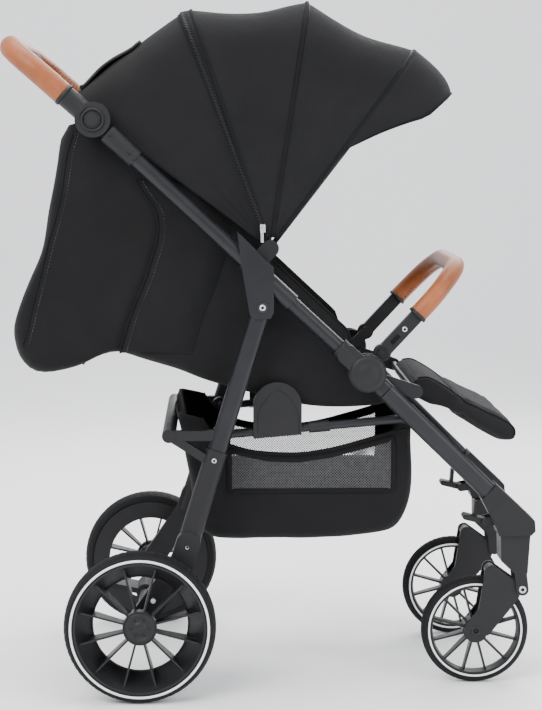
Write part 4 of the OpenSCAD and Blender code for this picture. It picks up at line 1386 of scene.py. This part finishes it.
def build_window(name, side, rows):
    """Grey net across a side window, drawn as a lattice of slanting threads."""
    grid = {(gx, gz): wall_y(rows, side, gx / 100, gz / 100)
            for gx in range(-8, 23) for gz in range(30, 44)}

    def y_at(p):
        fx, fz = p.x * 100, p.z * 100
        ix, iz = int(math.floor(fx)), int(math.floor(fz))
        tx, tz = fx - ix, fz - iz
        flat = side * BASKET_HALF_W
        a = grid.get((ix, iz), flat) * (1 - tx) + grid.get((ix + 1, iz), flat) * tx
        b = grid.get((ix, iz + 1), flat) * (1 - tx) + grid.get((ix + 1, iz + 1), flat) * tx
        return a * (1 - tz) + b * tz

    verts, faces = [], []
    half = 0.00062
    pitch = 0.0044
    low = 0.3165
    lean = 0.105                # how far a thread slants over the window's height
    for slope in (1, -1):
        for i in range(int((0.267 + lean) / pitch)):
            x0 = -0.064 - (lean if slope > 0 else 0) + i * pitch
            line = []
            for k in range(44):
                z = low + k * 0.0024
                x = x0 + slope * (z - low)
                if -0.0645 <= x <= 0.2035 and z < rim_height(x * 1000) - 0.008:
                    p = Vector((x, 0, z))
                    p.y = y_at(p) + side * (0.0006 if slope > 0 else -0.0006)
                    line.append(p)
            if len(line) < 2:
                continue
            across = Vector((0.7, 0, -0.7 * slope)).normalized() * half
            base = len(verts)
            for p in line:
                verts += [p + across, p + aside(half), p - across, p - aside(half)]
            faces += [tuple(base + k for k in f) for f in grid_faces(len(line), 4, wrap=True)]
    net = mesh_piece(f"basket_net_{name}", verts, faces, "net")
    basket_move(net, "mesh")
    border = [at(x, 0, 317.5) for x in range(-63, 203, 8)]
    top = [Vector((x / 1000, 0, rim_height(x) - 0.0095)) for x in range(202, -64, -8)]
    right = [Vector((0.2025, 0, 0.3175 + k * 0.0145)) for k in range(1, 6)]
    left = [Vector((-0.0635, 0, 0.382 - k * 0.0128)) for k in range(0, 5)]
    path = [Vector((p.x, y_at(p) + side * 0.0012, p.z)) for p in border + right + top + left]
    tape = ribbon(f"basket_window_tape_{name}", path, 0.0042, 0.0085, "binding", closed=True)
    basket_move(tape, "basket_fabric")


# ---------------------------------------------------------------- grips, tyres, fastenings

BUMPER_RISE = 47                # degrees up from level, the bumper bar's arms
SCREW_PROUD = 0.0006            # how far a screw stands out of what it holds
LINK_COVER_RIM = ((-18, 416), (-16, 450), (0, 474), (15, 484), (30, 474), (46, 450), (48, 416))


def u_path(origin, direction, start, length, half_w, bend, off_radius=0.0, off_angle=0.0,
           count=160):
    """The centre line of a bent U, or a line running round it at an offset."""
    d = Vector((math.cos(math.radians(direction)), 0, math.sin(math.radians(direction))))
    n = Vector((-d.z, 0, d.x))
    pts = []
    half = [(start + (length - bend - start) * i / 30, half_w, 0.0) for i in range(30)]
    half += [(length - bend + bend * math.sin(a), half_w - bend + bend * math.cos(a), a)
             for a in (math.pi / 2 * i / 24 for i in range(24))]
    half += [(length, (half_w - bend) * (1 - i / 20), math.pi / 2) for i in range(21)]
    both = half + [(x, -y, math.pi - a) for x, y, a in reversed(half[:-1])]
    for x, y, a in both:
        outward = d * math.sin(a) + Vector((0, math.cos(a), 0))
        p = origin + d * x + Vector((0, y, 0))
        p += outward * off_radius * math.cos(off_angle) + n * off_radius * math.sin(off_angle)
        pts.append(p)
    return spaced(pts, count), d, n


def tube_section(name, line, d, n, radius, look, swell):
    """A wrapped grip: a tube along a line, its surface slightly uneven."""
    count = len(line)
    sides = 36
    verts = []
    for i, p in enumerate(line):
        along = (line[min(i + 1, count - 1)] - line[max(i - 1, 0)]).normalized()
        out = along.cross(n).normalized()
        end = min(i, count - 1 - i)
        r = radius - (0.0022 if end == 0 else 0.0006 if end == 1 else 0.0)
        for k in range(sides):
            a = math.tau * k / sides
            rr = r + swell * math.sin(i * 0.21 + 2.0 * math.sin(a)) * 0.5
            verts.append(p + out * math.cos(a) * rr + n * math.sin(a) * rr)
    return mesh_piece(name, verts, tube_faces(count, sides), look)


def build_grips():
    specs = (("handle", HANDLE, 180 - 41.1, 0.0585, 0.176, 0.215, 0.062, 0.0181, "handle_grip"),
             ("bumper", BUMPER, BUMPER_RISE, 0.0825, 0.186, 0.180, 0.095, 0.0151, "bumper_grip"))
    seam_at, apart = -2.5, 0.13         # round the grip, in radians
    for body, origin, direction, start, length, half_w, bend, radius, node in specs:
        line, d, n = u_path(origin, direction, start, length, half_w, bend, count=180)
        grip = tube_section(f"{body}_leather", line, d, n, radius, "leather", 0.0004)
        seat_on(grip, body, "leather", node)
        for k, angle in enumerate((seam_at - apart, seam_at + apart)):
            path, _, _ = u_path(origin, direction, start + 0.004, length, half_w, bend,
                                radius + 0.0004, angle, 400)
            sewn = stitches(f"{body}_stitch_{k}", path, 0.0062, "thread", 0.00065)
            seat_on(sewn, body, "leather")
        path, _, _ = u_path(origin, direction, start + 0.002, length, half_w, bend,
                            radius - 0.0004, seam_at, 200)
        seam = ribbon(f"{body}_grip_seam", path, 0.0016, 0.0022, "leather")
        seat_on(seam, body, "leather")
        end_shape = [(radius - 0.004, -0.002), (radius + 0.0006, -0.002), (radius + 0.0012, 0.0),
                     (radius + 0.0006, 0.004), (radius - 0.004, 0.004)]
        for side_name, side in SIDES:
            ring = lathe(f"{body}_grip_end_{side_name}", end_shape, "plastic",
                         origin + d * start + aside(side * half_w), d, 48, closed=True)
            seat_on(ring, body, "black_plastic")


def build_tyre(name, body, node, centre, radius, half_w, depth):
    """A tyre with a cross-cut tread, rounded shoulders and moulded side rings."""
    wall = [(radius - depth, half_w - 0.001), (radius - depth + 0.004, half_w),
            (radius - 0.009, half_w - 0.0008), (radius - 0.005, half_w - 0.002)]
    steps = 16
    shares = [-1 + 2 * i / steps for i in range(steps + 1)]
    shape = [(r, -y) for r, y in wall]
    shape += [(radius - 0.0042 * abs(t) ** 3.2, (half_w - 0.0045) * t) for t in shares]
    shape += reversed(wall)
    turns = 300
    verts = []
    for i in range(turns):
        a = math.tau * i / turns
        for k, (r, y) in enumerate(shape):
            row = k - len(wall)
            if 0 <= row <= steps:
                if row in (4, 8, 12):
                    r -= 0.0012
                elif (i + int(abs(shares[row]) * 3)) % 5 == 0 and 0 < row < steps:
                    r -= 0.0011
            verts.append(centre + Vector((r * math.cos(a), y, r * math.sin(a))))
    piece = mesh_piece(name, verts, ring_faces(turns, len(shape)), "rubber")
    seat_on(piece, body, "tyre_rubber", node)


def build_wheels():
    for label, side in SIDES:
        for where, ring_r, ring_w, depth in (("rear", 0.1085, 0.0036, 0.016),
                                             ("front", 0.0755, 0.0030, 0.0145)):
            node = f"{where}_tyre_{label}"
            body = f"{where}_wheel_{label}"
            lo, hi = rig.box(node)
            centre = (lo + hi) / 2
            radius = (hi.z - lo.z) / 2
            half_w = (hi.y - lo.y) / 2
            build_tyre(f"{node}_tread", body, node, centre, radius, half_w, depth)
            inner, outer = ring_r - ring_w / 2, ring_r + ring_w / 2
            shape = [(inner, -0.0008), (outer, -0.0008), (outer, 0.0004), (inner, 0.0004)]
            for out in (1, -1) if where == "front" else (1,):
                y = centre.y + side * out * half_w
                ring = lathe(f"{body}_ring_{'outer' if out > 0 else 'inner'}", shape, "white",
                             (centre.x, y, centre.z), (0, side * out, 0), 128, closed=True)
                seat_on(ring, body, "reflective")
            if where == "rear":
                build_hub_cap(body, centre, side)


def build_hub_cap(body, centre, side):
    """A rear wheel's round cap, with six small ribs."""
    face = centre.y + side * (0.022 - 0.008)
    shape = [(0.0, 0.0026), (0.008, 0.0026), (0.0092, 0.0018), (0.0105, 0.0005), (0.017, 0.0005),
             (0.0185, 0.0022), (0.0225, 0.0022), (0.0248, 0.0008), (0.0250, -0.0008),
             (0.0, -0.0008)]
    cap = lathe(f"{body}_cap", shape, "wheel", (centre.x, face, centre.z), (0, side, 0), 64)
    seat_on(cap, body, "wheel_plastic")
    ribs_at = 0.0138
    rib_shape = [(0.0, 0.0012), (0.0012, 0.0010), (0.0014, 0.0), (0.0, 0.0)]
    for k in range(6):
        a = math.tau * k / 6
        place = (centre.x + ribs_at * math.cos(a), face + side * 0.0004,
                 centre.z + ribs_at * math.sin(a))
        rib = lathe(f"{body}_cap_rib_{k}", rib_shape, "plastic", place, (0, side, 0), 16)
        seat_on(rib, body, "wheel_plastic")


def screw(name, body, place, side, radius, look="steel"):
    """A pan-head screw with a hexagon socket, facing outward, the socket's floor dark plastic as painted shade in the
    recess.
    """
    place = Vector(place)
    shape = [(radius * 0.46, -0.0006), (radius * 0.50, 0.0012), (radius * 0.80, 0.0010),
             (radius * 0.95, 0.0004), (radius, -0.0006)]
    head = lathe(name, shape, look, place, (0, side, 0), 36)
    # painted shade: the socket's floor is dark plastic instead of the screw's own metal
    hollow = radius * 0.47
    floor = lathe(name + "_socket_shade", [(0.0, -0.0003), (hollow, -0.0003), (hollow, -0.0010),
                                      (0.0, -0.0010)], "plastic", place, (0, side, 0), 6)
    seat_on(head, body, "steel")
    seat_on(floor, body, "black_plastic")


def outer_y(node, side):
    """Across-position of a node's outermost face on one side."""
    lo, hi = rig.box(node)
    return hi.y if side > 0 else lo.y


def build_fastenings():
    for name, side in SIDES:
        proud = side * SCREW_PROUD
        screw(f"leg_screw_{name}", "upper_frame",
              (LEG.x, outer_y("leg_rivets", side) + proud, LEG.z), side, 0.0052)
        y = outer_y("rear_sleeves", side)
        for k, (x, z) in enumerate(((-88.2, 376.4), (-131.2, 237.6))):
            screw(f"sleeve_screw_{k}_{name}", "rear_frame", at(x, 1000 * (y + side * 0.0004), z),
                  side, 0.0042)
        caster = f"caster_{name}"
        p = PIVOT[f"suspension_{name}"]
        screw(f"arm_screw_{name}", caster, (p.x, outer_y(caster, side) + proud, p.z), side, 0.0062)
        arm = f"arm_{name}"
        spin = PIVOT[f"front_wheel_spin_{name}"]
        screw(f"front_axle_cap_{name}", arm, (spin.x, outer_y(arm, side) + proud, spin.z), side,
              0.0085, "wheel")
        screw(f"link_screw_{name}", "front_frame", (LINK.x, side * 0.1985, LINK.z), side, 0.0062)
        y = outer_y("bumper_ends", side)
        rise = math.radians(BUMPER_RISE)
        d = Vector((math.cos(rise), 0, math.sin(rise)))
        screw(f"bumper_screw_{name}", "bumper", BUMPER + d * 0.052 + aside(y + proud), side, 0.0046)
        # painted shade: a darker raised box stands for the shaded slot in the bumper end, no recess is cut
        place = BUMPER + d * 0.030 + aside(y + side * 0.0003)
        slot_shade_box = rounded_box(f"bumper_slot_shade_{name}", place, (0.018, 0.0014, 0.007), "binding",
                                0.0006, Matrix.Rotation(-rise, 3, "Y"))
        seat_on(slot_shade_box, "bumper", "black_plastic")
        cover = lathe(f"fold_cover_{name}",
                      [(0.0, 0.0026), (0.0140, 0.0026), (0.0152, 0.0018), (0.0200, 0.0020),
                       (0.0240, 0.0016), (0.0278, 0.0002), (0.0282, -0.0008), (0.0, -0.0008)],
                      "plastic", (HUB.x, outer_y("fold_hubs", side), HUB.z), (0, side, 0), 72)
        seat_on(cover, "upper_frame", "black_plastic")
        ring = lathe(f"handle_hub_ring_{name}",
                     [(0.0150, 0.0), (0.0160, 0.0011), (0.0178, 0.0011), (0.0186, 0.0),
                      (0.0186, -0.0006), (0.0150, -0.0006)], "plastic",
                     (HANDLE.x, outer_y("handle_knuckles", side), HANDLE.z), (0, side, 0), 72,
                     closed=True)
        seat_on(ring, "handle", "black_plastic")
        y = outer_y("link_covers", side) * 1000
        rib = smooth_path([at(x, y, z) for x, z in LINK_COVER_RIM], 8)
        rim_line = ribbon(f"link_cover_rim_{name}", rib, 0.0018, 0.0020, "plastic")
        seat_on(rim_line, "lower_links", "black_plastic")
        back, _ = seat_frame()
        for k, dist in enumerate((0.512, 0.552)):
            p = HUB + back * dist + aside(side * (0.215 + 0.0157))
            screw(f"sleeve_screw_top_{k}_{name}", "upper_frame", p, side, 0.0030, "plastic")


# ---------------------------------------------------------------- stage

def area_light(name, place, target, size, power):
    light = bpy.data.lights.new(name, "AREA")
    light.shape = "RECTANGLE"
    light.size, light.size_y = size
    light.energy = power
    lamp = add_object(name, light)
    lamp.location = place
    lamp.rotation_euler = (Vector(target) - Vector(place)).to_track_quat("-Z", "Y").to_euler()


def build_stage():
    verts, faces = [], []
    bend, radius, far = 14, 1.6, 3.2
    profile = [(-6.0, 0.0), (far, 0.0)]
    profile += [(far + radius * math.sin(a), radius * (1 - math.cos(a)))
                for a in (math.pi / 2 * k / bend for k in range(1, bend + 1))]
    profile.append((far + radius, 7.0))
    for y, z in profile:
        verts += [(-7.0, y, z - 0.0003), (7.0, y, z - 0.0003)]
    for i in range(len(profile) - 1):
        faces.append((2 * i, 2 * i + 1, 2 * i + 3, 2 * i + 2))
    mesh = bpy.data.meshes.new("studio_floor")
    mesh.from_pydata(verts, [], faces)
    shade(mesh)
    n = Nodes("pale_floor", (0.92, 0.92, 0.92), 0.8, specular=0.1)
    tone = n.ramp(n.noise(1.2, 2), [(0.2, (0.91, 0.91, 0.915)), (0.8, (0.94, 0.94, 0.94))])
    mesh.materials.append(n.finish(tone))
    floor = add_object("studio_floor", mesh)
    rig.stage(floor)
    target = (0.05, 0, 0.5)
    area_light("key", (-1.7, -2.5, 2.7), target, (2.2, 1.6), 120)
    area_light("fill", (2.6, -2.2, 1.5), target, (2.0, 2.0), 60)
    area_light("top", (0.1, 0.3, 3.3), (0.05, 0, 0.3), (2.6, 2.0), 105)
    area_light("rim", (0.9, 2.4, 2.2), (0.0, 0, 0.6), (2.6, 1.4), 80)
    world = bpy.data.worlds.new("studio_air")
    bpy.context.scene.world = world
    world.use_nodes = True
    sky = world.node_tree.nodes["Background"].inputs
    sky["Color"].default_value = (0.93, 0.95, 1.0, 1)
    sky["Strength"].default_value = 1.15


def build_camera():
    data = bpy.data.cameras.new("photo_view")
    data.lens = 99.1
    data.sensor_width = 36.0
    data.shift_x = -0.0002
    data.shift_y = -0.0965
    camera = add_object("photo_view", data)
    camera.location = (-0.0825, -3.3, 0.8795)
    camera.rotation_euler = (math.radians(85.8), 0, math.radians(-1.58))
    bpy.context.scene.camera = camera


# ---------------------------------------------------------------- all together

dress_cad_nodes()
build_canopy()
build_seat()
back_pad, seat_cushion, b_along, b_up, s_along, s_up = build_pads()
build_footrest()
build_harness(back_pad, seat_cushion, b_along, b_up, s_along, s_up)
build_basket()
build_grips()
build_wheels()
build_fastenings()
build_stage()
build_camera()

with open("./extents.json", "w") as out:
    json.dump({"cad": [list(v) for v in cad_box], "shown": [list(v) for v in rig.bounds()]}, out)
